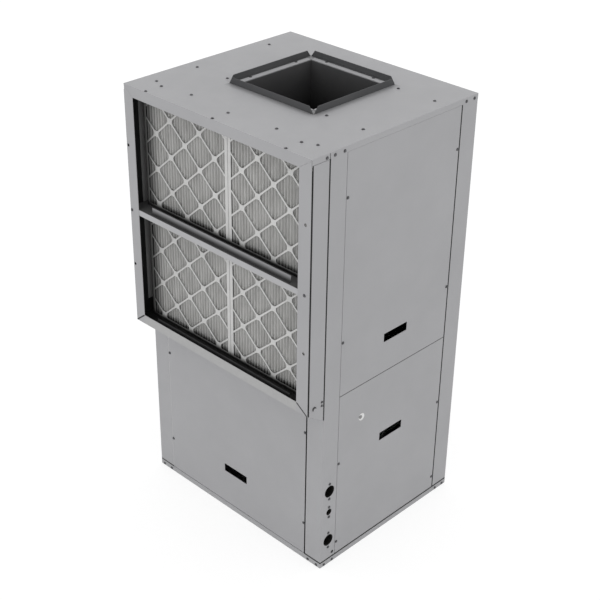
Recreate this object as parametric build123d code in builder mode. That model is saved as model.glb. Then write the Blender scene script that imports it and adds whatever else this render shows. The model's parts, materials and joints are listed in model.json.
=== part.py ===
from build123d import *
import math
import os

os.makedirs("parts", exist_ok=True)

# Overall size, in millimetres. The origin is the middle of the base, with the front towards -Y.
cabinet_width = 546.0
cabinet_depth = 674.0
cabinet_height = 1245.0
rack_depth = 61.0
sheet = 1.2
bend_cut = 1.0

left_x = -(cabinet_width - rack_depth) / 2
right_x = left_x + cabinet_width
front_y = -cabinet_depth / 2
back_y = cabinet_depth / 2
rack_face_x = left_x - rack_depth

# Filters, two side by side in each bay
filter_width = 323.0
filter_height = 332.0
filter_thickness = 19.5
filter_start = 3.0
filter_gap = 0.5
filter_top_gap = 1.5
filter_back_gap = 1.7
filter_board = 1.6
filter_border = 10.8
glue_line = 0.1
lattice_rise = 170.0
lower_filter_clearance = 11.4
lattice_pitch_y = 112.6
lattice_pitch_z = 101.0
lattice_strand = 6.5
pleat_pitch = 10.5
pleat_wall = 2.0

# Levels: the air section hangs from the top, and the compressor section takes the rest
floor_z = sheet
base_rail_height = 17.0
base_gap = 2.0
top_lip_height = 15.6
top_lip_z = cabinet_height - top_lip_height
shelf_rise = 12.0
deck_rise = 5.0
split_drop = 0.3
rail_top_z = top_lip_z - filter_top_gap - filter_height - filter_gap
shelf_z = rail_top_z - lower_filter_clearance - filter_height
rack_bottom_z = shelf_z - shelf_rise
deck_z = rack_bottom_z + deck_rise
panel_split_z = deck_z - split_drop
panel_gap = 1.0
split_gap = 0.5
lip_gap = 0.4

# Corner posts: the width of each face, and the seat that the panels lie on
front_left_face = 58.0
front_right_face = 62.0
left_near_face = 59.0
left_far_face = 58.0
back_face = 40.0
right_face = 40.0
panel_depth = 12.0
seat_gap = 0.4
seat_depth = panel_depth + seat_gap
seat_width = 15.0
inner_inset = seat_depth + sheet
tight_gap = 0.8
wide_gap = 2.4

# Hand slots and panel screws
slot_width = 92.0
slot_height = 26.0
slot_lip = 6.0
screw_head_radius = 4.6
screw_head_height = 2.4
screw_shank_radius = 2.2
screw_hole_radius = 3.0
screw_edge = 4.0

# Filter rack
rack_slope_drop = 42.0
rack_side_flange = 40.5
rack_far_flange = 34.0
rack_top_flange = 30.0
rack_bottom_flange = 27.5
mitre_gap = 0.4
mitre_uncut = 6.0
flange_tip_drop = 1.6
edge_gap = 0.4
rail_flange = 16.7
strip_depth = 13.6
strip_height = 18.0
strip_end = 76.0
strip_foot = 8.0
shelf_lap = 4.0
shelf_rear_lap = 8.0
door_slope_gap = 1.0
door_gap = 2.4
door_return = 10.0
rack_inner_start = door_return + 2 * sheet

# Supply opening on the top, and its duct flanges
supply_x = left_x + 160.0
supply_y = front_y + 210.0
supply_size = 256.0
duct_flange_height = 18.0
duct_flange_leg = 22.0
duct_flange_overlap = 1.5
duct_flange_corner = 0.8
duct_flange_cut = 15.5

# Blower
throat_gap = 1.0
scroll_step = 22.0
scroll_first_radius = 133.0
blower_axis_z = cabinet_height - 285.0
blower_skin = 1.2
seam_gap = 0.05
outlet_flange = 16.0
wheel_radius = 114.0
wheel_blade_depth = 19.0
wheel_side_gap = 20.0
wheel_ring = 4.0
wheel_disc = 3.0
blade_count = 16
blade_wall = 1.4
blade_lead = 6.0
blade_turn = 28.0
blade_gap = 0.05
blade_inset = 1.0
inlet_radius = 94.0
shaft_radius = 6.35
shaft_clearance = 0.05
shaft_in_motor = 30.0
shaft_overrun = 6.0
hub_radius = 18.0
hub_length = 36.0
motor_radius = 64.0
motor_length = 125.0
motor_edge = 6.0
motor_bore_spare = 4.0
motor_in_wheel = 60.0
motor_arm_width = 18.0
motor_band = 2.5
motor_band_length = 28.0

# Air coil and its drain pan
coil_x = left_x + 70.0
coil_thickness = 44.0
coil_start_y = front_y + 62.0
coil_end_y = front_y + 640.0
coil_bottom_z = deck_z + 11.0
coil_top_z = cabinet_height - 29.0
coil_plate_margin = 4.0
pan_wall = 1.6
pan_height = 28.0
pan_margin = 8.0
pan_ends = 13.0
pan_spout_end = 9.0
coil_plate_rise = 6.0
bend_row_inset = 11.0
bend_radius = 14.0
bend_tube_radius = 4.8
bend_count = 3
bend_pitch = 200.0
bend_start_z = coil_bottom_z + 60.0
header_radius = 11.0
header_low_z = deck_z + 55.0
stub_radius = 4.0
header_y = front_y + 28.0
spout_outer = 9.5
spout_inner = 7.0

# Water connections on the front left post
water_x = left_x + 30.0
water_out_z = 253.0
water_in_z = 85.0
condensate_z = 183.0
drain_hole_x = left_x + 47.3
drain_hole_z = 33.2
drain_hole_radius = 5.0
water_hole_radius = 18.0
water_bore_radius = 16.8
water_body_radius = 22.0
water_bore_length = 28.0
water_tube_radius = 13.0
water_screw_reach = 25.0
condensate_screw_reach = 16.5
condensate_hole_radius = 9.9
condensate_bore_radius = 8.6
condensate_body_radius = 13.0
condensate_bore_length = 22.0
bore_end = 6.0
condensate_tube_radius = 8.0

# Compressor and heat exchanger
compressor_x = left_x + 420.0
compressor_y = front_y + 480.0
compressor_radius = 85.0
compressor_height = deck_z - 145.0
compressor_foot = 3.0
grommet_height = 12.0
grommet_radius = 15.0
bolt_head_radius = 8.0
bolt_head_height = 5.0
bolt_radius = 4.0
foot_spread = 142.5
foot_plate = 180.5
foot_corner = 22.0
foot_hole_radius = 5.2
compressor_sides = 18
terminal_half = 26.0
terminal_depth = 40.0
terminal_height = 70.0
stub_wall_radius = 11.0
exchanger_x = left_x + 40.0
exchanger_y = front_y + 250.0
exchanger_width = 110.0
exchanger_depth = 70.0
exchanger_height = 310.0
exchanger_foot = 4.0
exchanger_foot_margin = 8.0
plate_step = 2.5
port_inset = 24.0
port_rise = 26.0

# Refrigerant circuit
line_radius = 8.0
liquid_radius = 5.0
line_bend = 18.0
gas_bend = 14.0
valve_x = left_x + 300.0
valve_y = compressor_y - 150.0
valve_z = deck_z - 105.0
valve_radius = 17.0
valve_length = 130.0
valve_port_pitch = 35.0
valve_coil_depth = 28.0
valve_coil_height = 34.0
valve_coil_width = 30.0
valve_coil_offset = 8.0
valve_edge = 4.0
valve_port_wall = 1.5
drier_x = left_x + 160.0
drier_y = front_y + 200.0
drier_bottom_z = deck_z - 300.0
drier_radius = 26.0
drier_height = 100.0
drier_cone = 12.0
expansion_z = deck_z - 170.0

# Control box, open to the front
box_x = left_x + 200.0
box_y = front_y + 30.0
box_z = deck_z - 245.0
box_width = 320.0
box_depth = 90.0

# Supply power entry on the right side
entry_y = front_y + 110.0
entry_z = deck_z - 75.0
entry_radius = 14.2
entry_wall = 3.5
entry_length = 16.0
entry_proud = 2.4


# Helpers


def block(low, high, mode=Mode.ADD):
    """A block between its lowest and highest corners."""
    size = [high[i] - low[i] for i in range(3)]
    middle = [(high[i] + low[i]) / 2 for i in range(3)]
    with Locations(tuple(middle)):
        Box(*size, mode=mode)


def bevelled(points, sharp, cut=bend_cut):
    """The same path, with each bend cut off by a short flat, apart from the sharp ones."""
    path = [points[0]]
    for before, corner, after in zip(points, points[1:], points[2:]):
        if corner in sharp:
            path.append(corner)
            continue
        for other in (before, after):
            run = math.dist(corner, other)
            share = cut / run
            path.append(tuple(c + share * (o - c) for c, o in zip(corner, other)))
    path.append(points[-1])
    return path


def beside(points, amount):
    """The same path moved to its right by an amount, with mitred corners."""
    normals = []
    for start, end in zip(points, points[1:]):
        run = math.dist(start, end)
        normals.append(((end[1] - start[1]) / run, (start[0] - end[0]) / run))
    shifted = []
    for point, before, after in zip(points, normals[:1] + normals, normals + normals[-1:]):
        share = amount / (1 + before[0] * after[0] + before[1] * after[1])
        step = (share * (before[0] + after[0]), share * (before[1] + after[1]))
        shifted.append((point[0] + step[0], point[1] + step[1]))
    return shifted


def folded(points, turned=1, thickness=sheet, sharp=()):
    """The section of a folded sheet, whose outer skin follows the points.

    The sheet lies to the right of the path, or to its left when turned is -1.
    """
    skin = bevelled(points, sharp)
    with BuildLine() as path:
        Polyline(*skin, *reversed(beside(skin, turned * thickness)), close=True)
    make_face(path.edges())


def hollow(axis, last, skin=sheet):
    """Turns the block made so far into a pan that is open at one end of an axis."""
    opening = faces().sort_by(axis)[-1 if last else 0]
    offset(amount=-skin, openings=opening, kind=Kind.INTERSECTION)


def screw_heads(places, out):
    """Hex heads lying on a skin, one at each place."""
    for place in places:
        with BuildSketch(Plane(origin=place, z_dir=out)) as head:
            RegularPolygon(screw_head_radius, 6)
        extrude(head.sketch, amount=screw_head_height)


def screw_shanks(places, out, length):
    """Shanks that run back from the heads at the same places."""
    for place in places:
        with BuildSketch(Plane(origin=place, z_dir=out)) as shank:
            RegularPolygon(screw_shank_radius, 6)
        extrude(shank.sketch, amount=-length)


def screw_cuts(places, out, depth):
    """Clearance holes for screws, as eight flats, that run inwards from a skin."""
    for place in places:
        with BuildSketch(Plane(origin=place, z_dir=out)) as hole:
            RegularPolygon(screw_hole_radius, 8)
        extrude(hole.sketch, amount=-depth, mode=Mode.SUBTRACT)


def round_cuts(places, out, radius, depth):
    """Round holes that start at a skin and run inwards."""
    for place in places:
        with BuildSketch(Plane(origin=place, z_dir=out)) as hole:
            Circle(radius)
        extrude(hole.sketch, amount=-depth, mode=Mode.SUBTRACT)


def clearance_cuts(places, out, radius, depth, sides=16):
    """Clearance holes of flats, no narrower than a radius, that run inwards from a skin."""
    for place in places:
        with BuildSketch(Plane(origin=place, z_dir=out)) as hole:
            RegularPolygon(radius, sides, major_radius=False)
        extrude(hole.sketch, amount=-depth, mode=Mode.SUBTRACT)


def bent_route(points, bend, chords=3):
    """The same route, with each corner rounded off by a few chords round the bend's radius."""
    route = [Vector(*points[0])]
    for before, corner, after in zip(points, points[1:], points[2:]):
        arriving = (Vector(*corner) - Vector(*before)).normalized()
        leaving = (Vector(*after) - Vector(*corner)).normalized()
        turn = math.acos(arriving.dot(leaving))
        inward = (leaving - arriving * arriving.dot(leaving)).normalized()
        start = Vector(*corner) - arriving * (bend * math.tan(turn / 2))
        reach = bend / math.cos(turn / (2 * chords))
        for i in range(chords):
            angle = (i + 0.5) * turn / chords
            offset_out = inward * (bend - reach * math.cos(angle))
            route.append(start + offset_out + arriving * (reach * math.sin(angle)))
    route.append(Vector(*points[-1]))
    return route


def tube(points, radius, bend=line_bend, chords=3, sides=6):
    """A bent tube of flats along a route with rounded corners."""
    with BuildLine() as route:
        Polyline(*bent_route(points, bend, chords))
    wire = route.wires()[0]
    with BuildSketch(Plane(origin=wire @ 0, z_dir=wire % 0)) as section:
        RegularPolygon(radius, sides)
    sweep(section.sketch, path=wire, transition=Transition.RIGHT)


def drum(base, rings, sides=20):
    """A turned body as flats: rings of height and radius above a base plane, joined in order."""
    for first, last in zip(rings, rings[1:]):
        if first[1] < last[1]:
            first, last = last, first
        rise = last[0] - first[0]
        with BuildSketch(base.offset(first[0])) as ring:
            RegularPolygon(first[1], sides)
        lean = math.cos(math.pi / sides) * (first[1] - last[1]) / abs(rise)
        extrude(ring.sketch, amount=rise, taper=math.degrees(math.atan(lean)))


def finish(piece, name):
    """Labels a finished piece and writes its file."""
    piece.part.label = name
    export_step(piece.part, f"parts/{name}.step")


FRONT = (0, -1, 0)
BACK = (0, 1, 0)
LEFT = (-1, 0, 0)
RIGHT = (1, 0, 0)
UP = (0, 0, 1)


# Base pan: a shallow folded tray under the whole cabinet, with its rails in the cabinet's faces
with BuildPart() as base_pan:
    block((left_x, front_y, 0), (right_x, back_y, base_rail_height))
    chamfer(edges().filter_by(Axis.Z), bend_cut)
    hollow(Axis.Z, last=True)
finish(base_pan, "base_pan")


# Front panel screws, and the holes that they need in the posts' seats
panel_left = left_x + front_left_face + tight_gap
panel_right = right_x - front_right_face - wide_gap
screw_columns = (panel_left + screw_edge, panel_right - screw_edge - 1.5)
upper_screw_levels = (cabinet_height - 134.0, deck_z + 162.5)
lower_screw_levels = (panel_split_z - 216.7, 60.0)
side_screw_levels = (rack_bottom_z - 112.0, 124.5)
upper_screws = [(x, front_y, z) for x in screw_columns for z in upper_screw_levels]
lower_screws = [(x, front_y, z) for x in screw_columns for z in lower_screw_levels]
side_panel_low = front_y + left_near_face + wide_gap
side_panel_high = back_y - left_far_face - tight_gap
side_columns = (side_panel_low + screw_edge, side_panel_high - screw_edge)
side_screws = [(left_x, y, z) for y in side_columns for z in side_screw_levels]


post_low_z = base_rail_height + base_gap
post_overlap = 20.0
tab_inset = 4.0
post_hole_sides = 16


def corner_post(corner, towards_x, towards_y, x_face, y_face, screws, holes):
    """An L of folded sheet with a seat for a panel along each edge, and a tab at each end.

    The corner is the cabinet's own, and towards_x and towards_y are 1 or -1, pointing inwards.
    """
    def at(u, v):
        return (corner[0] + towards_x * u, corner[1] + towards_y * v)

    skin = [at(x_face, 0), at(0, 0), at(0, y_face)]
    seats = [at(x_face + seat_width, seat_depth), at(x_face, seat_depth)]
    seats += skin
    seats += [at(seat_depth, y_face), at(seat_depth, y_face + seat_width)]
    inner_skin = [at(x_face - tab_inset, sheet), at(sheet, sheet), at(sheet, y_face - tab_inset)]
    turned = towards_x * towards_y
    with BuildPart() as post:
        with BuildSketch(Plane.XY.offset(post_low_z)):
            folded(seats, turned, sharp=(seats[1], seats[-2]))
        extrude(amount=top_lip_z - post_low_z)
        for low_z, high_z in (
            (floor_z, post_low_z + post_overlap),
            (top_lip_z - post_overlap, cabinet_height - sheet),
        ):
            with BuildSketch(Plane.XY.offset(low_z)):
                folded(inner_skin, turned)
            extrude(amount=high_z - low_z)
        for places, out, radius in holes:
            clearance_cuts(places, out, radius, sheet, sides=post_hole_sides)
        for places, out in screws:
            screw_cuts(places, out, seat_depth + 2 * sheet)
    return post


front_left_screws = [(upper_screws[:2] + lower_screws[:2], FRONT), (side_screws[:2], LEFT)]
front_left_holes = [
    ([(water_x, front_y, z) for z in (water_in_z, water_out_z)], FRONT, water_hole_radius),
    ([(water_x, front_y, condensate_z)], FRONT, condensate_hole_radius),
    ([(drain_hole_x, front_y, drain_hole_z)], FRONT, drain_hole_radius),
]
front_right_screws = [(upper_screws[2:] + lower_screws[2:], FRONT)]
back_left_screws = [(side_screws[2:], LEFT)]

post_front_left = corner_post(
    (left_x, front_y), 1, 1, front_left_face, left_near_face, front_left_screws, front_left_holes
)
finish(post_front_left, "post_front_left")
post_front_right = corner_post(
    (right_x, front_y), -1, 1, front_right_face, right_face, front_right_screws, []
)
finish(post_front_right, "post_front_right")
post_back_left = corner_post(
    (left_x, back_y), 1, -1, back_face, left_far_face, back_left_screws, []
)
finish(post_back_left, "post_back_left")
post_back_right = corner_post((right_x, back_y), -1, -1, back_face, right_face, [], [])
finish(post_back_right, "post_back_right")


# Panels: shallow pans that lie on the seats of the posts


def hand_slot(plane, centre):
    """A finger slot through a panel's face, with a lip turned in along its top."""
    with BuildSketch(plane) as slot:
        with Locations(centre):
            Rectangle(slot_width, slot_height)
    extrude(slot.sketch, amount=-2 * sheet, mode=Mode.SUBTRACT)
    with BuildSketch(plane) as lip:
        with Locations((centre[0], centre[1] + slot_height / 2 + sheet / 2)):
            Rectangle(slot_width, sheet)
    extrude(lip.sketch, amount=-slot_lip)


front_plane = Plane.XZ.offset(-front_y)
slot_x = left_x + 269.0
upper_slot = (slot_x, deck_z + 107.0)
lower_slot = (slot_x + 2.5, panel_split_z - 211.2)


def front_panel(low_z, high_z, slot, screws, plugs):
    """A lift-off panel of the front, with its hand slot and its round holes."""
    with BuildPart() as panel:
        block((panel_left, front_y, low_z), (panel_right, front_y + panel_depth, high_z))
        hollow(Axis.Y, last=True)
        hand_slot(front_plane, slot)
        screw_cuts(screws, FRONT, 2 * sheet)
        clearance_cuts(plugs, FRONT, plug_radius - plug_lip, 2 * sheet, sides=12)
    return panel


upper_low_z = panel_split_z + split_gap
upper_high_z = top_lip_z - lip_gap
lower_low_z = post_low_z
lower_high_z = panel_split_z - split_gap
plug_places = [(left_x + 147.0, front_y, panel_split_z - 105.2)]
plug_radius = 11.0
plug_lip = 2.0
plug_rise = 2.4
upper_front_panel = front_panel(upper_low_z, upper_high_z, upper_slot, upper_screws, [])
finish(upper_front_panel, "upper_front_panel")
lower_front_panel = front_panel(lower_low_z, lower_high_z, lower_slot, lower_screws, plug_places)
finish(lower_front_panel, "lower_front_panel")

with BuildPart() as hole_plug:
    plug_plane = Plane(origin=plug_places[0], z_dir=FRONT)
    dome = [(0, plug_radius), (0.8, plug_radius - 0.6), (plug_rise, plug_radius * 0.55)]
    drum(plug_plane, dome, sides=12)
    stem = plug_radius - plug_lip - 0.3
    drum(plug_plane, [(-6, stem - 0.6), (0, stem)], sides=8)
finish(hole_plug, "hole_plug")

side_high_z = rack_bottom_z - rack_slope_drop - panel_gap
left_slot = ((side_panel_low + side_panel_high) / 2, 142.0)
with BuildPart() as lower_left_panel:
    block((left_x, side_panel_low, lower_low_z), (left_x + panel_depth, side_panel_high, side_high_z))
    hollow(Axis.X, last=True)
    side_plane = Plane(origin=(left_x, 0, 0), x_dir=(0, -1, 0), z_dir=LEFT)
    hand_slot(side_plane, (-left_slot[0], left_slot[1]))
    screw_cuts(side_screws, LEFT, 2 * sheet)
finish(lower_left_panel, "lower_left_panel")

with BuildPart() as right_side_panel:
    low = (right_x - panel_depth, front_y + right_face + tight_gap, lower_low_z)
    high = (right_x, back_y - right_face - tight_gap, upper_high_z)
    block(low, high)
    hollow(Axis.X, last=False)
    entry_place = (right_x, entry_y, entry_z)
    clearance_cuts([entry_place], RIGHT, entry_radius + entry_wall + 0.3, 2 * sheet)
finish(right_side_panel, "right_side_panel")

with BuildPart() as back_panel:
    low = (left_x + back_face + tight_gap, back_y - panel_depth, lower_low_z)
    high = (right_x - back_face - tight_gap, back_y, upper_high_z)
    block(low, high)
    hollow(Axis.Y, last=False)
finish(back_panel, "back_panel")

# Foam-backed insulation inside the panels
lining = 9.0
lining_margin = 26.0
lining_slot_margin = 12.0
lining_plug_margin = 2.0


def panel_lining(low_z, high_z, slot, plugs):
    """Insulation glued inside a front panel, cut out round the hand slot and any plug."""
    with BuildPart() as liner:
        low = (panel_left + lining_margin, front_y + sheet, low_z + lining_margin)
        high = (panel_right - lining_margin, front_y + sheet + lining, high_z - lining_margin)
        block(low, high)
        with BuildSketch(front_plane):
            with Locations(slot):
                Rectangle(slot_width + 2 * lining_slot_margin, slot_height + 2 * lining_slot_margin)
        extrude(amount=-panel_depth, mode=Mode.SUBTRACT)
        clearance_cuts(plugs, FRONT, plug_radius + lining_plug_margin, panel_depth, sides=8)
    return liner


upper_lining = panel_lining(upper_low_z, upper_high_z, upper_slot, [])
finish(upper_lining, "upper_front_lining")
lower_lining = panel_lining(lower_low_z, lower_high_z, lower_slot, plug_places)
finish(lower_lining, "lower_front_lining")

with BuildPart() as fixed_linings:
    low_z = deck_z + lining_margin
    high_z = upper_high_z - lining_margin
    low = (left_x + back_face + lining_margin, back_y - sheet - lining, low_z)
    high = (right_x - back_face - lining_margin, back_y - sheet, high_z)
    block(low, high)
    low = (right_x - sheet - lining, front_y + right_face + lining_margin, low_z)
    high = (right_x - sheet, back_y - right_face - lining_margin, high_z)
    block(low, high)
finish(fixed_linings, "fixed_linings")


# Deck between the air section and the compressor section
deck_flange = 20.0
condensate_x = left_x + 72.0
condensate_y = front_y + 51.0
gas_riser = (coil_x + coil_thickness / 2, header_y)
liquid_riser = (left_x + 110.0, front_y + 33.0)
pass_gap = 2.0
with BuildPart() as deck:
    low = (left_x + inner_inset, front_y + inner_inset, deck_z - deck_flange)
    high = (right_x - inner_inset, back_y - inner_inset, deck_z)
    block(low, high)
    hollow(Axis.Z, last=False)
    passes = [
        (condensate_x, condensate_y, spout_outer),
        (*gas_riser, header_radius),
        (*liquid_riser, liquid_radius),
    ]
    for x, y, radius in passes:
        with BuildSketch(Plane.XY.offset(deck_z)):
            with Locations((x, y)):
                RegularPolygon(radius + pass_gap, 8, major_radius=False)
        extrude(amount=-2 * sheet, mode=Mode.SUBTRACT)
finish(deck, "divider_deck")


# Top panel: a pan over cabinet and rack, with the supply opening and the rack's top flange
with BuildPart() as top_panel:
    block((rack_face_x, front_y, top_lip_z), (right_x, back_y, cabinet_height))
    hollow(Axis.Z, last=False)
    low = (rack_face_x, front_y, top_lip_z)
    high = (rack_face_x + sheet, back_y, cabinet_height - sheet)
    block(low, high, Mode.SUBTRACT)
    low = (left_x - door_gap, front_y, top_lip_z)
    high = (left_x, front_y + sheet, cabinet_height - sheet)
    block(low, high, Mode.SUBTRACT)
    with BuildSketch(Plane.YZ.offset(rack_face_x)):
        with BuildLine():
            near = front_y + rack_side_flange
            far = back_y - rack_far_flange
            low_z = cabinet_height - rack_top_flange
            Polyline(
                (front_y + mitre_gap, cabinet_height - sheet),
                (near + mitre_gap / 2, low_z),
                (far - mitre_gap / 2, low_z),
                (back_y - mitre_gap, cabinet_height - sheet),
                close=True,
            )
        make_face()
    extrude(amount=sheet)
    with BuildSketch(Plane.XY.offset(cabinet_height)):
        with Locations((supply_x + supply_size / 2, supply_y + supply_size / 2)):
            Rectangle(supply_size, supply_size)
    extrude(amount=-2 * sheet, mode=Mode.SUBTRACT)
finish(top_panel, "top_panel")


# Duct flanges: four angles round the supply opening, with their ends cut back
supply_middle = (supply_x + supply_size / 2, supply_y + supply_size / 2)
flange_reach = supply_size / 2 + duct_flange_overlap + duct_flange_leg
flange_foot = flange_reach - sheet - duct_flange_corner
flange_top = flange_reach - duct_flange_cut
flange_foot_length = supply_size + 2 * (duct_flange_overlap - duct_flange_corner)
with BuildPart() as duct_flanges:
    for turn in range(4):
        turned = Rot(0, 0, 90 * turn)
        base = Location((*supply_middle, cabinet_height)) * turned
        outer = Plane(base * Location((0, -flange_reach, 0), (90, 0, 0)))
        with BuildSketch(outer):
            with BuildLine():
                Polyline(
                    (-flange_foot, 0),
                    (-flange_top, duct_flange_height),
                    (flange_top, duct_flange_height),
                    (flange_foot, 0),
                    close=True,
                )
            make_face()
        extrude(amount=-sheet)
        with BuildSketch(Plane(base)):
            with Locations((0, -flange_reach + duct_flange_leg / 2)):
                Rectangle(flange_foot_length, duct_flange_leg)
        extrude(amount=sheet)
finish(duct_flanges, "duct_flanges")


# Filter rack: face flanges, far side and sloped bottom in one folded frame
slope_low_z = rack_bottom_z - rack_slope_drop
rack_lip_z = top_lip_z - edge_gap
rack_tip_z = cabinet_height - sheet - flange_tip_drop


def mitre_slit(corner, opening, sheet_plane):
    """An open slit between two flanges, from the opening's corner almost to the outer corner."""
    run = math.dist(corner, opening)
    along = ((corner[0] - opening[0]) / run, (corner[1] - opening[1]) / run)
    cut = run - mitre_uncut
    end = (opening[0] + along[0] * cut, opening[1] + along[1] * cut)
    across = (-along[1] * mitre_gap / 2, along[0] * mitre_gap / 2)
    with BuildSketch(sheet_plane) as slit:
        with BuildLine():
            Polyline(
                (opening[0] - along[0] + across[0], opening[1] - along[1] + across[1]),
                end,
                (opening[0] - along[0] - across[0], opening[1] - along[1] - across[1]),
                close=True,
            )
        make_face()
    extrude(slit.sketch, amount=sheet, mode=Mode.SUBTRACT)


rack_near_y = front_y + sheet
rack_open_z = rack_bottom_z + rack_bottom_flange
rack_plane = Plane.YZ.offset(rack_face_x)
duct_hole_radius = 4.5
duct_hole_rows = (rack_bottom_z + 182.0, rack_bottom_z + 535.6)
duct_hole_columns = (front_y + 17.7, back_y - 5.7)
with BuildPart() as rack_frame:
    with BuildSketch(rack_plane):
        with BuildLine():
            Polyline(
                (rack_near_y, rack_bottom_z),
                (back_y, rack_bottom_z),
                (back_y, rack_lip_z),
                (back_y - sheet - edge_gap, rack_lip_z),
                (back_y - sheet - edge_gap, rack_tip_z),
                (back_y - rack_far_flange, cabinet_height - rack_top_flange - mitre_gap),
                (back_y - rack_far_flange, rack_open_z),
                (front_y + rack_side_flange, rack_open_z),
                (front_y + rack_side_flange, cabinet_height - rack_top_flange - mitre_gap),
                (rack_near_y + edge_gap, rack_tip_z),
                (rack_near_y + edge_gap, rack_lip_z),
                (rack_near_y, rack_lip_z),
                close=True,
            )
        make_face()
    extrude(amount=sheet)
    with BuildSketch(Plane.XZ.offset(-back_y)):
        with BuildLine():
            Polyline(
                (rack_face_x, rack_bottom_z),
                (left_x, slope_low_z),
                (left_x, rack_lip_z),
                (rack_face_x, rack_lip_z),
                close=True,
            )
        make_face()
    extrude(amount=sheet)
    with BuildSketch(Plane.XZ.offset(-back_y)):
        with BuildLine():
            Polyline(
                (rack_face_x, rack_bottom_z),
                (left_x, slope_low_z),
                (left_x, slope_low_z + 1.5 * sheet),
                (rack_face_x, rack_bottom_z + 1.5 * sheet),
                close=True,
            )
        make_face()
    extrude(amount=cabinet_depth - sheet)
    near_corner = (rack_near_y, rack_bottom_z)
    mitre_slit(near_corner, (front_y + rack_side_flange, rack_open_z), rack_plane)
    far_corner = (back_y, rack_bottom_z)
    mitre_slit(far_corner, (back_y - rack_far_flange, rack_open_z), rack_plane)
    duct_holes = [(rack_face_x, y, z) for y in duct_hole_columns for z in duct_hole_rows]
    round_cuts(duct_holes, LEFT, duct_hole_radius, sheet)
finish(rack_frame, "filter_rack_frame")

rack_inner_x = rack_face_x + sheet
rack_inner_y = front_y + rack_inner_start
rack_inner_end = back_y - sheet
rack_inner_run = rack_inner_end - rack_inner_y
rack_section = Plane.XZ.offset(-rack_inner_end)

with BuildPart() as rack_mid_rail:
    with BuildSketch(rack_section):
        rail_path = [(rack_inner_x, rail_top_z - rail_flange), (rack_inner_x, rail_top_z)]
        rail_path += [(left_x - edge_gap, rail_top_z)]
        folded(rail_path)
    extrude(amount=rack_inner_run)
finish(rack_mid_rail, "filter_rack_mid_rail")

with BuildPart() as rack_shelf:
    with BuildSketch(rack_section):
        shelf_path = [(rack_inner_x, rack_bottom_z + shelf_lap), (rack_inner_x, shelf_z)]
        shelf_path += [(left_x, shelf_z), (left_x, slope_low_z + shelf_rear_lap)]
        folded(shelf_path)
    extrude(amount=rack_inner_run)
finish(rack_shelf, "filter_rack_shelf")

strip_x = rack_face_x + strip_depth
strip_near_y = front_y + strip_end
strip_run = cabinet_depth - 2 * strip_end - sheet
with BuildPart() as retaining_strips:
    for level in (shelf_z, rail_top_z):
        with BuildSketch(Plane.XZ.offset(-(strip_near_y + strip_run))):
            strip_path = [(strip_x - strip_foot, level), (strip_x, level)]
            strip_path += [(strip_x, level + strip_height)]
            folded(strip_path, turned=-1)
        extrude(amount=strip_run)
finish(retaining_strips, "filter_retaining_strips")

door_x_low = rack_face_x + sheet + door_gap
door_x_high = left_x - door_gap


def slope_z(x):
    """Height of the rack's sloped bottom at a place across its depth."""
    return slope_low_z + rack_slope_drop * (left_x - x) / rack_depth


latch_x = left_x - 37.0
latch_z = shelf_z + 2.0
latch_radius = 6.5
latch_slot_depth = 1.2
latch_slot_width = 1.6
latch_slot_end = 1.5
corner_screw_rises = (11.0, 22.0)
corner_screw_inset = 9.0
with BuildPart() as rack_door:
    with BuildSketch(Plane.XZ.offset(-front_y - sheet)):
        with BuildLine():
            Polyline(
                (door_x_low, slope_z(door_x_low) + door_slope_gap),
                (door_x_high, slope_z(door_x_high) + door_slope_gap),
                (door_x_high, top_lip_z - panel_gap),
                (door_x_low, top_lip_z - panel_gap),
                close=True,
            )
        make_face()
    extrude(amount=sheet)
    low = (door_x_low, front_y + sheet, rack_open_z)
    high = (door_x_low + sheet, front_y + sheet + door_return, cabinet_height - rack_top_flange)
    block(low, high)
finish(rack_door, "filter_rack_door")

with BuildPart() as door_screw:
    with BuildSketch(Plane.XZ.offset(-front_y)):
        with Locations((latch_x, latch_z)):
            RegularPolygon(latch_radius, 12)
    extrude(amount=screw_head_height)
    with BuildSketch(Plane.XZ.offset(-front_y + screw_head_height)):
        with Locations((latch_x, latch_z)):
            Rectangle(2 * (latch_radius - latch_slot_end), latch_slot_width)
    extrude(amount=-latch_slot_depth, mode=Mode.SUBTRACT)
    corner_x = left_x - corner_screw_inset
    screw_heads([(corner_x, front_y, rack_bottom_z + z) for z in corner_screw_rises], FRONT)
finish(door_screw, "filter_door_screw")


# Filters: a die-cut board frame with a diamond lattice, and a pleated medium behind it
filter_x = left_x - filter_back_gap - filter_thickness


def lattice_hole(middle):
    """A diamond hole, narrower than its pitch by the strands."""
    half_y = lattice_pitch_y / 2 - lattice_strand * 0.74
    half_z = lattice_pitch_z / 2 - lattice_strand * 0.68
    y, z = middle
    with BuildLine() as outline:
        Polyline((y - half_y, z), (y, z - half_z), (y + half_y, z), (y, z + half_z), close=True)
    make_face(outline.edges())


def filter_frame(low_y, low_z):
    """The board frame of one filter, open at the back, with the lattice cut in its front."""
    lattice_middle = (low_y + filter_width / 2, low_z + lattice_rise)
    middle = (low_y + filter_width / 2, low_z + filter_height / 2)
    block(
        (filter_x, low_y, low_z),
        (filter_x + filter_thickness, low_y + filter_width, low_z + filter_height),
    )
    hollow(Axis.X, last=True, skin=filter_board)
    with BuildSketch(Plane.YZ.offset(filter_x)) as lattice:
        for row in range(-4, 5):
            for column in range(-3, 4):
                if (row + column) % 2 == 0:
                    y = lattice_middle[0] + column * lattice_pitch_y / 2
                    z = lattice_middle[1] + row * lattice_pitch_z / 2
                    lattice_hole((y, z))
        with Locations(middle):
            inside = (filter_width - 2 * filter_border, filter_height - 2 * filter_border)
            Rectangle(*inside, mode=Mode.INTERSECT)
    extrude(lattice.sketch, amount=filter_board, mode=Mode.SUBTRACT)


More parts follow.
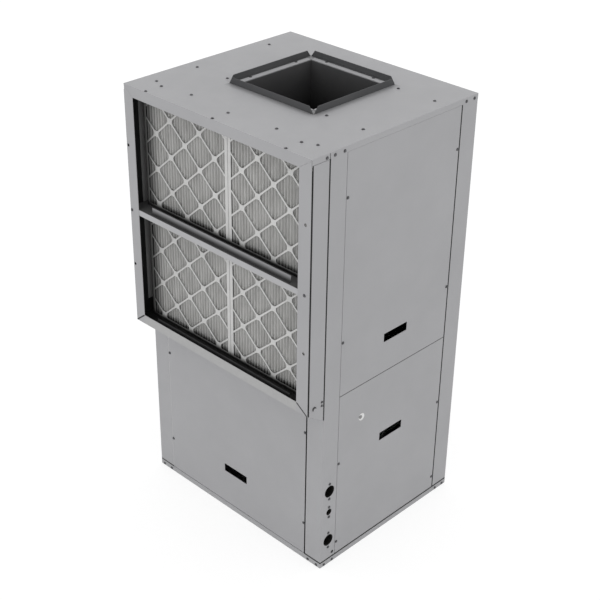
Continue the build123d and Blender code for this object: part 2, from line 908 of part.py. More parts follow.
def filter_medium(low_y, low_z):
    """Pleated medium that fills the frame behind the lattice, within its glue line."""
    inset = filter_board + glue_line
    start = low_y + inset
    run = filter_width - 2 * inset
    folds = 2 * round(run / pleat_pitch)
    front_x = filter_x + inset
    valley_x = filter_x + filter_thickness - pleat_wall
    back_x = filter_x + filter_thickness
    edge = []
    for i in range(folds + 1):
        edge.append((front_x if i % 2 == 0 else valley_x, start + run * i / folds))
    with BuildSketch(Plane.XY.offset(low_z + inset)) as pleats:
        with BuildLine():
            Polyline(*edge, (back_x, start + run), (back_x, start), close=True)
        make_face()
    extrude(pleats.sketch, amount=filter_height - 2 * inset)


near_filter_y = front_y + filter_start
far_filter_y = near_filter_y + filter_width + filter_gap
for bay, level in (("upper", rail_top_z + filter_gap), ("lower", shelf_z + filter_gap)):
    for place, start in (("near", near_filter_y), ("far", far_filter_y)):
        with BuildPart() as frame:
            filter_frame(start, level)
        with BuildPart() as filter_unit:
            filter_medium(start, level)
            add(frame.part)
        finish(filter_unit, f"filter_{bay}_{place}")


# Blower housing: two cheeks, a wrap of growing arcs between them, and a collar under the top panel
throat_low_x = supply_x + throat_gap
throat_high_x = supply_x + supply_size - throat_gap
throat_low_y = supply_y + throat_gap
throat_width = supply_size - 2 * throat_gap
last_radius = scroll_first_radius + 2 * scroll_step
blower_axis_x = throat_low_x + scroll_step / 2 + last_radius
blower_middle_y = throat_low_y + throat_width / 2
first_centre = (blower_axis_x + scroll_step / 2, blower_axis_z - scroll_step / 2)
second_centre = (first_centre[0] - scroll_step, first_centre[1])
third_centre = (second_centre[0], second_centre[1] + scroll_step)
second_radius = scroll_first_radius + scroll_step
cutoff_rise = math.sqrt(scroll_first_radius**2 - (throat_high_x - first_centre[0]) ** 2)
cutoff_z = first_centre[1] + cutoff_rise
cutoff_angle = math.degrees(math.atan2(cutoff_rise, throat_high_x - first_centre[0]))
throat_top_z = cabinet_height - edge_gap


def arc_points(centre, radius, start, sweep, chords):
    """Points along an arc in the plane of the scroll."""
    points = []
    for i in range(chords + 1):
        angle = math.radians(start + sweep * i / chords)
        points.append((centre[0] + radius * math.cos(angle), centre[1] + radius * math.sin(angle)))
    return points


scroll = [(throat_low_x, throat_top_z)]
scroll += arc_points(third_centre, last_radius, 180, 90, 5)
scroll += arc_points(second_centre, second_radius, 270, 90, 5)[1:]
scroll += arc_points(first_centre, scroll_first_radius, 0, cutoff_angle, 3)[1:]
scroll += [(throat_high_x, throat_top_z)]
cheek_planes = (-throat_low_y, -throat_low_y - throat_width + blower_skin)
wrap_inset = blower_skin + seam_gap
with BuildPart() as blower_housing:
    for start in cheek_planes:
        with BuildSketch(Plane.XZ.offset(start)):
            with BuildLine():
                Polyline(*scroll, close=True)
            make_face()
            with Locations((blower_axis_x, blower_axis_z)):
                RegularPolygon(inlet_radius, 20, mode=Mode.SUBTRACT)
        extrude(amount=-blower_skin)
    with BuildSketch(Plane.XZ.offset(-throat_low_y - wrap_inset)) as wrap:
        with BuildLine():
            Polyline(*scroll, *reversed(beside(scroll, -blower_skin)), close=True)
        make_face()
    extrude(wrap.sketch, amount=2 * wrap_inset - throat_width)
    with BuildSketch(Plane.XY.offset(cabinet_height - sheet)) as collar:
        with Locations(supply_middle):
            Rectangle(throat_width + 2 * outlet_flange, throat_width + 2 * outlet_flange)
            hole = throat_width + 2 * seam_gap
            Rectangle(hole, hole, mode=Mode.SUBTRACT)
    extrude(collar.sketch, amount=-blower_skin)
finish(blower_housing, "blower_housing")


# Blower wheel: forward-curved blades between two end rings and a centre disc
wheel_start_y = throat_low_y + blower_skin + wheel_side_gap
wheel_width = throat_width - 2 * (blower_skin + wheel_side_gap)
wheel_inner_radius = wheel_radius - wheel_blade_depth


def wheel_slice(start, length, outer, inner):
    """A ring of the wheel that starts this far along its axis."""
    with BuildSketch(Plane.XZ.offset(-(wheel_start_y + start))) as ring:
        with Locations((blower_axis_x, blower_axis_z)):
            RegularPolygon(outer, blade_count)
            RegularPolygon(inner, blade_count, major_radius=False, mode=Mode.SUBTRACT)
    extrude(ring.sketch, amount=-length)


disc_start = (wheel_width - wheel_disc) / 2
disc_end = disc_start + wheel_disc
hub_start = (wheel_width - hub_length) / 2
blade_spans = ((wheel_ring, disc_start), (disc_end, wheel_width - wheel_ring))
with BuildPart() as blower_wheel:
    wheel_slice(0, wheel_ring, wheel_radius, wheel_inner_radius)
    wheel_slice(wheel_width - wheel_ring, wheel_ring, wheel_radius, wheel_inner_radius)
    wheel_slice(disc_start, wheel_disc, wheel_radius, shaft_radius + shaft_clearance)
    wheel_slice(hub_start, hub_length, hub_radius, shaft_radius + shaft_clearance)
    for span_start, span_end in blade_spans:
        with BuildSketch(Plane.XZ.offset(-(wheel_start_y + span_start + blade_gap))) as blades:
            with Locations((blower_axis_x, blower_axis_z)):
                blade_middle = (wheel_radius + wheel_inner_radius) / 2 - blade_inset
                with PolarLocations(blade_middle, blade_count):
                    Rectangle(wheel_blade_depth - blade_lead, blade_wall, rotation=blade_turn)
        extrude(blades.sketch, amount=span_start - span_end + 2 * blade_gap)
finish(blower_wheel, "blower_wheel")

motor_end_y = wheel_start_y + motor_in_wheel
motor_start_y = motor_end_y - motor_length
shaft_start_y = motor_end_y - shaft_in_motor
shaft_end_y = wheel_start_y + (wheel_width + hub_length) / 2 + shaft_overrun
with BuildPart() as blower_shaft:
    with BuildSketch(Plane.XZ.offset(-shaft_start_y)):
        with Locations((blower_axis_x, blower_axis_z)):
            Circle(shaft_radius)
    extrude(amount=shaft_start_y - shaft_end_y)
finish(blower_shaft, "blower_shaft")

with BuildPart() as blower_motor:
    rings = [(0, motor_radius - motor_edge), (motor_edge, motor_radius)]
    rings += [(motor_length - motor_edge, motor_radius), (motor_length, motor_radius - motor_edge)]
    motor_base = Plane(origin=(blower_axis_x, motor_start_y, blower_axis_z), z_dir=BACK)
    drum(motor_base, rings, sides=24)
    with BuildSketch(motor_base.offset(motor_length)):
        RegularPolygon(shaft_radius + shaft_clearance, 12, major_radius=False)
    extrude(amount=-shaft_in_motor - motor_bore_spare, mode=Mode.SUBTRACT)
finish(blower_motor, "blower_motor")

arm_thickness = 3.0
arm_end_radius = inlet_radius + 13.0
band_radius = motor_radius + 0.2
with BuildPart() as motor_bracket:
    band_end_y = throat_low_y
    bracket_plane = Plane(origin=(blower_axis_x, band_end_y, blower_axis_z), z_dir=FRONT)
    with BuildSketch(bracket_plane):
        RegularPolygon(band_radius + motor_band, 24)
        RegularPolygon(band_radius, 24, mode=Mode.SUBTRACT)
    extrude(amount=motor_band_length)
    with BuildSketch(bracket_plane):
        with PolarLocations((band_radius + motor_band + arm_end_radius) / 2 - 1, 3, start_angle=90):
            Rectangle(arm_end_radius - band_radius - motor_band + 2, motor_arm_width)
    extrude(amount=arm_thickness)
finish(motor_bracket, "motor_bracket")


# Drain pan and air coil
with BuildPart() as drain_pan:
    low = (coil_x - coil_plate_margin - pan_margin, coil_start_y - pan_ends - pan_spout_end, deck_z)
    high_x = coil_x + coil_thickness + coil_plate_margin + pan_margin
    high = (high_x, coil_end_y + pan_ends, deck_z + pan_height)
    block(low, high)
    hollow(Axis.Z, last=True, skin=pan_wall)
    with BuildSketch(Plane.XY.offset(deck_z)):
        with Locations((condensate_x, condensate_y)):
            RegularPolygon(spout_outer, 12)
    extrude(amount=-deck_flange)
    with BuildSketch(Plane.XY.offset(deck_z + pan_wall)):
        with Locations((condensate_x, condensate_y)):
            RegularPolygon(spout_inner, 12)
    extrude(amount=-deck_flange - pan_wall, mode=Mode.SUBTRACT)
finish(drain_pan, "drain_pan")

with BuildPart() as fin_pack:
    low = (coil_x, coil_start_y, coil_bottom_z)
    high = (coil_x + coil_thickness, coil_end_y, coil_top_z)
    block(low, high)
finish(fin_pack, "air_coil_fins")

with BuildPart() as coil_plates:
    for skin_y in (coil_start_y - sheet, coil_end_y):
        low = (coil_x - coil_plate_margin, skin_y, deck_z + pan_wall)
        high_x = coil_x + coil_thickness + coil_plate_margin
        high = (high_x, skin_y + sheet, coil_top_z + coil_plate_rise)
        block(low, high)
finish(coil_plates, "air_coil_plates")

bend_rows = (coil_x + bend_row_inset, coil_x + coil_thickness - bend_row_inset)
coil_face_y = coil_start_y - sheet
header_top_z = bend_start_z + bend_count * bend_pitch - bend_pitch / 2
with BuildPart() as coil_tubes:
    for row_x in bend_rows:
        for i in range(bend_count):
            low_z = bend_start_z + i * bend_pitch - bend_radius
            high_z = low_z + 2 * bend_radius
            far_y = coil_face_y - bend_radius
            ends = [(row_x, coil_face_y, low_z), (row_x, far_y, low_z)]
            ends += [(row_x, far_y, high_z), (row_x, coil_face_y, high_z)]
            tube(ends, bend_tube_radius, bend=bend_radius, chords=2)
    header_rings = [(0, header_radius), (header_top_z - header_low_z, header_radius)]
    drum(Plane(origin=(*gas_riser, header_low_z)), header_rings, sides=10)
    for i in range(bend_count - 1):
        stub_z = bend_start_z + (i + 0.5) * bend_pitch
        with BuildSketch(Plane.XZ.offset(-coil_face_y)):
            with Locations((gas_riser[0], stub_z)):
                RegularPolygon(stub_radius, 6)
        extrude(amount=coil_face_y - header_y)
finish(coil_tubes, "air_coil_tubes")


# Water connections: threaded bodies flush behind the post, each with its copper line
exchanger_face_y = exchanger_y
port_low_z = floor_z + exchanger_foot + port_rise
port_high_z = floor_z + exchanger_foot + exchanger_height - port_rise
water_port_x = exchanger_x + port_inset
gas_port_x = exchanger_x + exchanger_width - port_inset


def connection(start, body_radius, bore_radius, bore_length):
    """A threaded body that lies against the back of the post's skin, bored from the front."""
    with BuildSketch(Plane(origin=start, z_dir=BACK)) as body:
        RegularPolygon(body_radius, 8)
    extrude(body.sketch, amount=bore_length + bore_end)
    with BuildSketch(Plane(origin=start, z_dir=BACK)) as bore:
        Circle(bore_radius)
    extrude(bore.sketch, amount=bore_length, mode=Mode.SUBTRACT)


def water_line(level, port_z):
    """A water connection and the copper tube from it to the heat exchanger."""
    start = (water_x, front_y + sheet, level)
    body_end_y = front_y + sheet + water_bore_length + bore_end
    with BuildPart() as line:
        connection(start, water_body_radius, water_bore_radius, water_bore_length)
        route = [(water_x, body_end_y, level), (water_x, front_y + 120, level)]
        route += [(water_port_x, front_y + 190, port_z), (water_port_x, exchanger_face_y, port_z)]
        tube(route, water_tube_radius, bend=40, sides=8)
    return line


finish(water_line(water_in_z, port_low_z), "water_inlet_line")
finish(water_line(water_out_z, port_high_z), "water_outlet_line")

with BuildPart() as condensate_line:
    start = (water_x, front_y + sheet, condensate_z)
    connection(start, condensate_body_radius, condensate_bore_radius, condensate_bore_length)
    body_end_y = front_y + sheet + condensate_bore_length + bore_end
    route = [(water_x, body_end_y, condensate_z), (water_x, condensate_y + 10, condensate_z)]
    route += [(condensate_x, condensate_y + 10, condensate_z + 60)]
    route += [(condensate_x, condensate_y, condensate_z + 140)]
    route += [(condensate_x, condensate_y, deck_z - deck_flange)]
    tube(route, condensate_tube_radius, bend=10)
finish(condensate_line, "condensate_line")


# Brazed plate heat exchanger: a stack of plates between two covers, on a bracket
plate_count = 10
with BuildPart() as exchanger:
    low_z = floor_z + exchanger_foot
    plate = exchanger_depth / plate_count
    for i in range(plate_count):
        inset = 0 if i % 2 == 0 else plate_step
        low = (exchanger_x + inset, exchanger_y + i * plate, low_z + inset)
        high_x = exchanger_x + exchanger_width - inset
        high = (high_x, exchanger_y + (i + 1) * plate, low_z + exchanger_height - inset)
        block(low, high)
    foot_low = (exchanger_x - exchanger_foot_margin, exchanger_y, floor_z)
    foot_high_x = exchanger_x + exchanger_width + exchanger_foot_margin
    block(foot_low, (foot_high_x, exchanger_y + exchanger_depth, low_z))
finish(exchanger, "plate_heat_exchanger")


# Compressor on rubber grommets
foot_z = floor_z + grommet_height
body_z = foot_z + compressor_foot
foot_places = [
    (compressor_x + a * foot_spread / 2, compressor_y + b * foot_spread / 2)
    for a in (-1, 1)
    for b in (-1, 1)
]
dome_rise = 42.0
stub_length = 14.0
stub_seat = 5.0
suction_z = 190.0
compressor_top_z = body_z + compressor_height
compressor_axis = (compressor_x, compressor_y, body_z)
compressor_rings = [
    (0, compressor_radius - 8),
    (10, compressor_radius),
    (compressor_height - dome_rise, compressor_radius),
    (compressor_height - dome_rise * 0.35, compressor_radius * 0.78),
    (compressor_height, compressor_radius * 0.32),
]
with BuildPart() as compressor:
    with BuildSketch(Plane.XY.offset(foot_z)):
        with Locations((compressor_x, compressor_y)):
            Rectangle(foot_plate, foot_plate)
        chamfer(vertices(), foot_corner)
        with Locations(*foot_places):
            RegularPolygon(foot_hole_radius, 8, mode=Mode.SUBTRACT)
    extrude(amount=compressor_foot)
    drum(Plane(origin=compressor_axis), compressor_rings, sides=compressor_sides)
    terminal_y = compressor_y - compressor_radius
    terminal_z = body_z + compressor_height * 0.6
    box_low = (compressor_x - terminal_half, terminal_y - terminal_half, terminal_z)
    box_high_y = terminal_y - terminal_half + terminal_depth
    box_high = (compressor_x + terminal_half, box_high_y, terminal_z + terminal_height)
    block(box_low, box_high)
    suction_start = (compressor_x - compressor_radius + stub_seat, compressor_y, suction_z)
    suction_rings = [(0, stub_wall_radius), (stub_seat + stub_length, stub_wall_radius)]
    drum(Plane(origin=suction_start, z_dir=LEFT), suction_rings, sides=10)
    top_start = (compressor_x, compressor_y, compressor_top_z - stub_seat)
    top_rings = [(0, stub_wall_radius), (stub_seat + stub_length, stub_wall_radius)]
    drum(Plane(origin=top_start), top_rings, sides=10)
finish(compressor, "compressor")

with BuildPart() as grommets:
    with BuildSketch(Plane.XY.offset(floor_z)):
        with Locations(*foot_places):
            RegularPolygon(grommet_radius, 12)
    extrude(amount=grommet_height, taper=10)
finish(grommets, "compressor_grommets")

with BuildPart() as foot_bolts:
    with BuildSketch(Plane.XY.offset(body_z)):
        with Locations(*foot_places):
            RegularPolygon(bolt_head_radius, 6)
    extrude(amount=bolt_head_height)
    with BuildSketch(Plane.XY.offset(body_z)):
        with Locations(*foot_places):
            RegularPolygon(bolt_radius, 6)
    extrude(amount=-compressor_foot)
finish(foot_bolts, "compressor_bolts")


# Reversing valve with its coil
valve_low_z = valve_z - valve_radius
port_stub = 14.0
with BuildPart() as reversing_valve:
    with BuildSketch(Plane.YZ.offset(valve_x - valve_length / 2)):
        with Locations((valve_y, valve_z)):
            RegularPolygon(valve_radius, 16)
    extrude(amount=valve_length)
    chamfer(faces().sort_by(Axis.X)[0].edges(), valve_edge)
    chamfer(faces().sort_by(Axis.X)[-1].edges(), valve_edge)
    with BuildSketch(Plane.XY.offset(valve_z)):
        for step in (-1, 0, 1):
            with Locations((valve_x + step * valve_port_pitch, valve_y)):
                RegularPolygon(line_radius + valve_port_wall, 8)
    extrude(amount=-valve_radius - port_stub)
    with BuildSketch(Plane.XY.offset(valve_z)):
        with Locations((valve_x, valve_y)):
            RegularPolygon(line_radius + valve_port_wall, 8)
    extrude(amount=valve_radius + port_stub)
finish(reversing_valve, "reversing_valve")

with BuildPart() as valve_coil:
    with BuildSketch(Plane.YZ.offset(valve_x + valve_coil_offset)):
        with Locations((valve_y - valve_radius - valve_coil_depth / 2, valve_z)):
            Rectangle(valve_coil_depth, valve_coil_height)
    extrude(amount=valve_coil_width)
    chamfer(edges().filter_by(Axis.X), valve_edge)
finish(valve_coil, "reversing_valve_coil")


# Refrigerant lines
stub_low_z = valve_low_z - port_stub
stub_high_z = valve_z + valve_radius + port_stub
suction_stub_x = compressor_x - compressor_radius - stub_length
discharge_stub_z = compressor_top_z + stub_length
discharge_route = [(compressor_x, compressor_y, discharge_stub_z)]
discharge_route += [(compressor_x, compressor_y, stub_high_z + 30)]
discharge_route += [(valve_x, valve_y, stub_high_z + 30), (valve_x, valve_y, stub_high_z)]

suction_route = [(valve_x, valve_y, stub_low_z), (valve_x, valve_y, suction_z)]
suction_route += [(valve_x, compressor_y, suction_z)]
suction_route += [(suction_stub_x, compressor_y, suction_z)]

gas_x = valve_x - valve_port_pitch
gas_route = [(gas_x, valve_y, stub_low_z), (gas_x, valve_y, stub_low_z - 26)]
gas_route += [(gas_port_x, exchanger_y - 45, stub_low_z - 26)]
gas_route += [(gas_port_x, exchanger_y - 45, port_high_z), (gas_port_x, exchanger_y, port_high_z)]

coil_gas_x = valve_x + valve_port_pitch
coil_gas_z = stub_low_z - 32
coil_gas_route = [(*gas_riser, header_low_z), (*gas_riser, deck_z - 75)]
coil_gas_route += [(gas_riser[0], front_y + 150, deck_z - 75)]
coil_gas_route += [(coil_gas_x, front_y + 150, coil_gas_z), (coil_gas_x, valve_y, coil_gas_z)]
coil_gas_route += [(coil_gas_x, valve_y, stub_low_z)]

with BuildPart() as gas_lines:
    for route in (discharge_route, suction_route, gas_route, coil_gas_route):
        tube(route, line_radius, bend=gas_bend)
finish(gas_lines, "refrigerant_gas_lines")

liquid_route = [(gas_port_x, exchanger_y, port_low_z), (gas_port_x, drier_y, port_low_z)]
liquid_route += [(drier_x, drier_y, port_low_z + 45), (drier_x, drier_y, drier_bottom_z)]


drier_top_z = drier_bottom_z + drier_height
drier_axis = Plane(origin=(drier_x, drier_y, drier_bottom_z))
drier_end = drier_radius - drier_cone
drier_rings = [(0, drier_end), (drier_cone, drier_radius)]
drier_rings += [(drier_height - drier_cone, drier_radius), (drier_height, drier_end)]
with BuildPart() as filter_drier:
    drum(drier_axis, drier_rings, sides=12)
finish(filter_drier, "filter_drier")

expansion_height = 36.0
expansion_head = 20.0
head_y = drier_y - 8
with BuildPart() as expansion_valve:
    neck = [(drier_height, liquid_radius), (expansion_z - drier_bottom_z, liquid_radius)]
    drum(drier_axis, neck, sides=8)
    body = [(expansion_z - drier_bottom_z, 13)]
    body += [(expansion_z + expansion_height - drier_bottom_z, 13)]
    drum(drier_axis, body, sides=6)
    head_plane = Plane(origin=(drier_x, head_y, expansion_z + expansion_height / 2), z_dir=FRONT)
    drum(head_plane, [(0, 12), (expansion_head, 12)], sides=12)
    drum(head_plane, [(expansion_head, 19), (expansion_head + 8, 15)], sides=12)
finish(expansion_valve, "expansion_valve")

coil_feed_z = bend_start_z - 34.0
feed_route = [(drier_x, drier_y, expansion_z + expansion_height), (drier_x, drier_y, deck_z - 42)]
feed_route += [(*liquid_riser, deck_z - 42), (*liquid_riser, coil_feed_z)]
feed_route += [(liquid_riser[0], coil_face_y, coil_feed_z)]

with BuildPart() as liquid_lines:
    tube(liquid_route, liquid_radius, bend=line_bend)
    tube(feed_route, liquid_radius, bend=12)
finish(liquid_lines, "refrigerant_liquid_lines")


# Control box and what it holds
box_top_z = deck_z - sheet
with BuildPart() as control_box:
    block((box_x, box_y, box_z), (box_x + box_width, box_y + box_depth, box_top_z))
    hollow(Axis.Y, last=False)
finish(control_box, "control_box")

box_back_y = box_y + box_depth - sheet


def on_box(x, z, width, height, depth):
    """Corners of a device that stands on the back wall of the control box."""
    low = (box_x + x, box_back_y - depth, box_z + z)
    high = (box_x + x + width, box_back_y, box_z + z + height)
    return low, high


plunger_size = 20.0
plunger_travel = 4.0
plunger_proud = 6.0
plunger_depth = 14.0
contactor_low, contactor_high = on_box(25, 125, 72, 84, 58)
plunger_x = (contactor_low[0] + contactor_high[0]) / 2
plunger_z = (contactor_low[2] + contactor_high[2]) / 2
contactor_plane = Plane.XZ.offset(-contactor_low[1])
with BuildPart() as contactor:
    block(contactor_low, contactor_high)
    chamfer(edges().filter_by(Axis.Z), 3)
    with BuildSketch(contactor_plane):
        with Locations((plunger_x, plunger_z)):
            Rectangle(plunger_size + 1, plunger_size + 1)
    extrude(amount=-(plunger_depth - plunger_proud + plunger_travel + 1), mode=Mode.SUBTRACT)
    with BuildSketch(contactor_plane):
        for step in (-1, 0, 1):
            for end in (-1, 1):
                with Locations((plunger_x + step * 22, plunger_z + end * 31)):
                    Rectangle(14, 12)
    extrude(amount=-10, mode=Mode.SUBTRACT)
finish(contactor, "compressor_contactor")

with BuildPart() as armature:
    with BuildSketch(Plane.XZ.offset(-(contactor_low[1] - plunger_proud))):
        with Locations((plunger_x, plunger_z)):
            Rectangle(plunger_size, plunger_size)
    extrude(amount=-plunger_depth)
finish(armature, "contactor_armature")

with BuildPart() as transformer:
    low, high = on_box(125, 130, 70, 60, 50)
    block(low, high)
    low, high = on_box(137, 118, 46, 84, 40)
    block(low, high)
finish(transformer, "transformer")

capacitor_radius = 22.0
with BuildPart() as capacitor:
    place = (box_x + 250, box_back_y - capacitor_radius)
    with BuildSketch(Plane.XY.offset(box_z + 110)):
        with Locations(place):
            Rectangle(64, 2 * capacitor_radius)
        chamfer(vertices(), capacitor_radius * 0.45)
    extrude(amount=95)
    with BuildSketch(Plane.XY.offset(box_z + 205)):
        for side_step in (-14, 14):
            with Locations((place[0] + side_step, place[1])):
                Rectangle(8, 3)
    extrude(amount=9)
finish(capacitor, "run_capacitor")

board_standoff = 10.0
with BuildPart() as board:
    low, high = on_box(20, 12, 165, 95, board_standoff + 1.6)
    high = (high[0], low[1] + 1.6, high[2])
    block(low, high)
    for x in (low[0] + 6, high[0] - 6):
        for z in (low[2] + 6, high[2] - 6):
            block((x - 3, low[1] + 1.6, z - 3), (x + 3, box_back_y, z + 3))
    for i in range(4):
        relay_x = low[0] + 18 + i * 26
        block((relay_x, low[1] - 16, low[2] + 50), (relay_x + 19, low[1], low[2] + 76))
    block((low[0] + 14, low[1] - 12, low[2] + 8), (low[0] + 120, low[1], low[2] + 18))
    block((high[0] - 38, low[1] - 7, low[2] + 20), (high[0] - 14, low[1], low[2] + 44))
finish(board, "control_board")

# Power entry bushing through the right side
with BuildPart() as power_entry:
    entry_plane = Plane(origin=(right_x, entry_y, entry_z), z_dir=RIGHT)
    barrel = entry_radius + entry_wall
    drum(entry_plane, [(-entry_length, barrel), (0, barrel)], sides=16)
    drum(entry_plane, [(0, barrel + 4), (entry_proud, barrel + 4)], sides=16)
    round_cuts([(right_x + entry_proud, entry_y, entry_z)], RIGHT, entry_radius, 2 * entry_length)
finish(power_entry, "power_entry_bushing")


# Screws
shank_length = seat_depth + sheet + 3.0


def panel_screws(places, out, name):
    """Captive screws that come away with their panel."""
    with BuildPart() as screws:
        screw_heads(places, out)
        screw_shanks(places, out, shank_length)
    finish(screws, name)


panel_screws(upper_screws, FRONT, "upper_panel_screws")
panel_screws(lower_screws, FRONT, "lower_panel_screws")
panel_screws(side_screws, LEFT, "left_panel_screws")

lip_screw_z = cabinet_height - 10.0
rail_screw_z = 5.6
corner_inset = 15.0
second_inset = 47.5
rack_screw_inset = 12.0
column_inset = 18.5
row_outset = 26.0
edge_row = 41.0
edge_column = 9.5
edge_rows = (50.0, 185.5, 490.5, 626.0)
rack_columns = (-57.0, -5.5)
rack_rows = (88.0, 338.5, 589.0)
foot_screw_step = 84.0
foot_screw_inset = 9.5

front_columns = (left_x + corner_inset, left_x + second_inset)
front_columns += (right_x - second_inset, right_x - corner_inset)
side_rows = (front_y + corner_inset, front_y + second_inset)
side_rows += (back_y - corner_inset, back_y - second_inset)
top_columns = (supply_middle[0] - flange_reach + column_inset, supply_middle[0] + flange_reach - column_inset)
top_rows = (front_y + edge_row, supply_middle[1] - flange_reach - row_outset)
top_rows += (supply_middle[1] + flange_reach + row_outset, back_y - edge_row)
rack_screw_x = left_x - rack_screw_inset
with BuildPart() as cabinet_screws:
    screw_heads([(x, front_y, lip_screw_z) for x in (rack_screw_x, *front_columns)], FRONT)
    screw_heads([(x, back_y, lip_screw_z) for x in front_columns], BACK)
    screw_heads([(x, front_y, rail_screw_z) for x in front_columns], FRONT)
    screw_heads([(x, back_y, rail_screw_z) for x in front_columns[::3]], BACK)
    screw_heads([(left_x, y, rail_screw_z) for y in side_rows], LEFT)
    for level in (rail_screw_z, lip_screw_z):
        screw_heads([(right_x, y, level) for y in side_rows[::2]], RIGHT)
    screw_heads([(x, y, cabinet_height) for x in top_columns for y in top_rows], UP)
    screw_heads([(left_x + edge_column, front_y + y, cabinet_height) for y in edge_rows], UP)
    rack_screws = [(left_x + x, front_y + y, cabinet_height) for x in rack_columns for y in rack_rows]
    screw_heads(rack_screws, UP)
    foot_line = flange_reach - foot_screw_inset
    for along in (-foot_screw_step, foot_screw_step):
        for u, v in ((foot_line, along), (-foot_line, along), (along, foot_line), (along, -foot_line)):
            place = (supply_middle[0] + u, supply_middle[1] + v, cabinet_height + sheet)
            screw_heads([place], UP)
    rail_mid_z = rail_top_z - rail_flange / 2
    screw_heads([(rack_face_x, y, rail_mid_z) for y in duct_hole_columns], LEFT)
    for level, reach in (
        (water_in_z, water_screw_reach),
        (water_out_z, water_screw_reach),
        (condensate_z, condensate_screw_reach),
    ):
        places = [(water_x, front_y, level + reach), (water_x, front_y, level - reach)]
        screw_heads(places, FRONT)
finish(cabinet_screws, "cabinet_screws")
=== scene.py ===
import json
import math
import random

import bmesh
import bpy
from mathutils import Matrix, Vector
from mathutils import noise as field

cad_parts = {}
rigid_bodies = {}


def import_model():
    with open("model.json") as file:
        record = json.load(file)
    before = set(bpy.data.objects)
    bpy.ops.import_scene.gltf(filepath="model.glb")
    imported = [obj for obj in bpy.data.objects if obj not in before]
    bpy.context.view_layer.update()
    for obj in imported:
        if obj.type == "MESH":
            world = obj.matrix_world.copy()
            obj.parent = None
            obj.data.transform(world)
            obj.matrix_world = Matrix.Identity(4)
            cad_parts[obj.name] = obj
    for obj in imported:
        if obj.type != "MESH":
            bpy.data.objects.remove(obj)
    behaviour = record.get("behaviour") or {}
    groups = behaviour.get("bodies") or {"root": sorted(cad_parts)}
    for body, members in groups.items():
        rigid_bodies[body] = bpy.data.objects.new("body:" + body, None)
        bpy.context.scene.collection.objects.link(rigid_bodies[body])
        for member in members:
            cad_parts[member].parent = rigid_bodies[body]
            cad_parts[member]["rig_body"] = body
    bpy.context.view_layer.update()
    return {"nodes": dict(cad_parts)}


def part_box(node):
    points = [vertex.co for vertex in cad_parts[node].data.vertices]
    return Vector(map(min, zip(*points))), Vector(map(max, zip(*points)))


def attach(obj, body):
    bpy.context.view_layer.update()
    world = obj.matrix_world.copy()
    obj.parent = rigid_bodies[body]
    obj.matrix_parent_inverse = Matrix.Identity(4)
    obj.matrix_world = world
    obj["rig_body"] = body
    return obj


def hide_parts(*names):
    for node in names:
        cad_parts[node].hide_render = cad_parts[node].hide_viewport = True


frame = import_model()
nodes = frame["nodes"]

# Camera of the photograph, in the 600 by 600 frame
CAMERA_PLACE = (-2.20488, -2.15006, 2.40310)
CAMERA_AZIMUTH = -0.80042009
CAMERA_ELEVATION = 0.52479131
CAMERA_ROLL = 0.01436277
FOCAL_PIXELS = 1272.4244
PICTURE_PIXELS = 600.0
SENSOR = 36.0

# Light
WORLD_LEVEL = 0.85
KEY_POWER = 2.5
KEY_SIZE = 3.2
KEY_PLACE = (1.2, -4.6, 1.1)
KEY_TARGET = (0, 0, 0.6)
FILL_POWER = 11.0
FILL_SIZE = 2.6
FILL_PLACE = (-4.4, -0.8, 1.2)
FILL_TARGET = (0, 0, 0.7)
FLOOR_REACH = 14.0
FLOOR_LEVEL = -0.0004
FLOOR_BOUNCE = 0.82
FLOOR_SHADOW = 0.35
FLOOR_GLOW = 0.75

# Cabinet, in metres, as in the solids
LEFT = -0.2425
RIGHT = 0.3035
FRONT = -0.337
BACK = 0.337
TOP = 1.245
RACK_FACE = -0.3035
SHEET = 0.0012
RAIL_TOP = 0.8954
SHELF = 0.552
RACK_BOTTOM = 0.540
PANEL_LOW_Y = -0.2756

# Filters, in metres, as in the solids
FILTER_BOARD = 0.0016
FILTER_BORDER = 0.0108
LATTICE_RISE = 0.170
PITCH_Y = 0.1126
PITCH_Z = 0.1010
STRAND = 0.0047
PLEAT_PITCH = 0.0105

# Painted shade on the filters: heights above their rails, and places along the rack
FOOT_BLACK = 0.007
FOOT_CLEAR = 0.021
END_CLEAR = 0.262
END_BLACK = 0.313
END_TONE = 0.92
SEAM_HALF = 0.0013
SEAM_TONE = 0.72
SLIT_HALF = 0.0021
RACK_FLANGE = 0.0275
FILTER_SEAM = FRONT + 0.32625

random.seed(7)


# Scene: camera, floor and light


def add_camera():
    azimuth, elevation = CAMERA_AZIMUTH, CAMERA_ELEVATION
    back = Vector((
        math.sin(azimuth) * math.cos(elevation),
        -math.cos(azimuth) * math.cos(elevation),
        math.sin(elevation),
    ))
    across = Vector((0, 0, 1)).cross(back).normalized()
    upward = back.cross(across)
    c, s = math.cos(CAMERA_ROLL), math.sin(CAMERA_ROLL)
    right = across * c + upward * s
    top = upward * c - across * s
    data = bpy.data.cameras.new("camera")
    data.sensor_width = SENSOR
    data.sensor_fit = "HORIZONTAL"
    data.lens = FOCAL_PIXELS / PICTURE_PIXELS * SENSOR
    data.clip_end = 60
    camera = bpy.data.objects.new("camera", data)
    turn = Matrix((right, top, back)).transposed().to_4x4()
    camera.matrix_world = Matrix.Translation(CAMERA_PLACE) @ turn
    bpy.context.scene.collection.objects.link(camera)
    bpy.context.scene.camera = camera


def area_light(name, place, target, size, power):
    data = bpy.data.lights.new(name, "AREA")
    data.shape = "DISK"
    data.size = size
    data.energy = power
    lamp = bpy.data.objects.new(name, data)
    lamp.location = place
    aim = Vector(target) - Vector(place)
    lamp.rotation_euler = aim.to_track_quat("-Z", "Y").to_euler()
    bpy.context.scene.collection.objects.link(lamp)


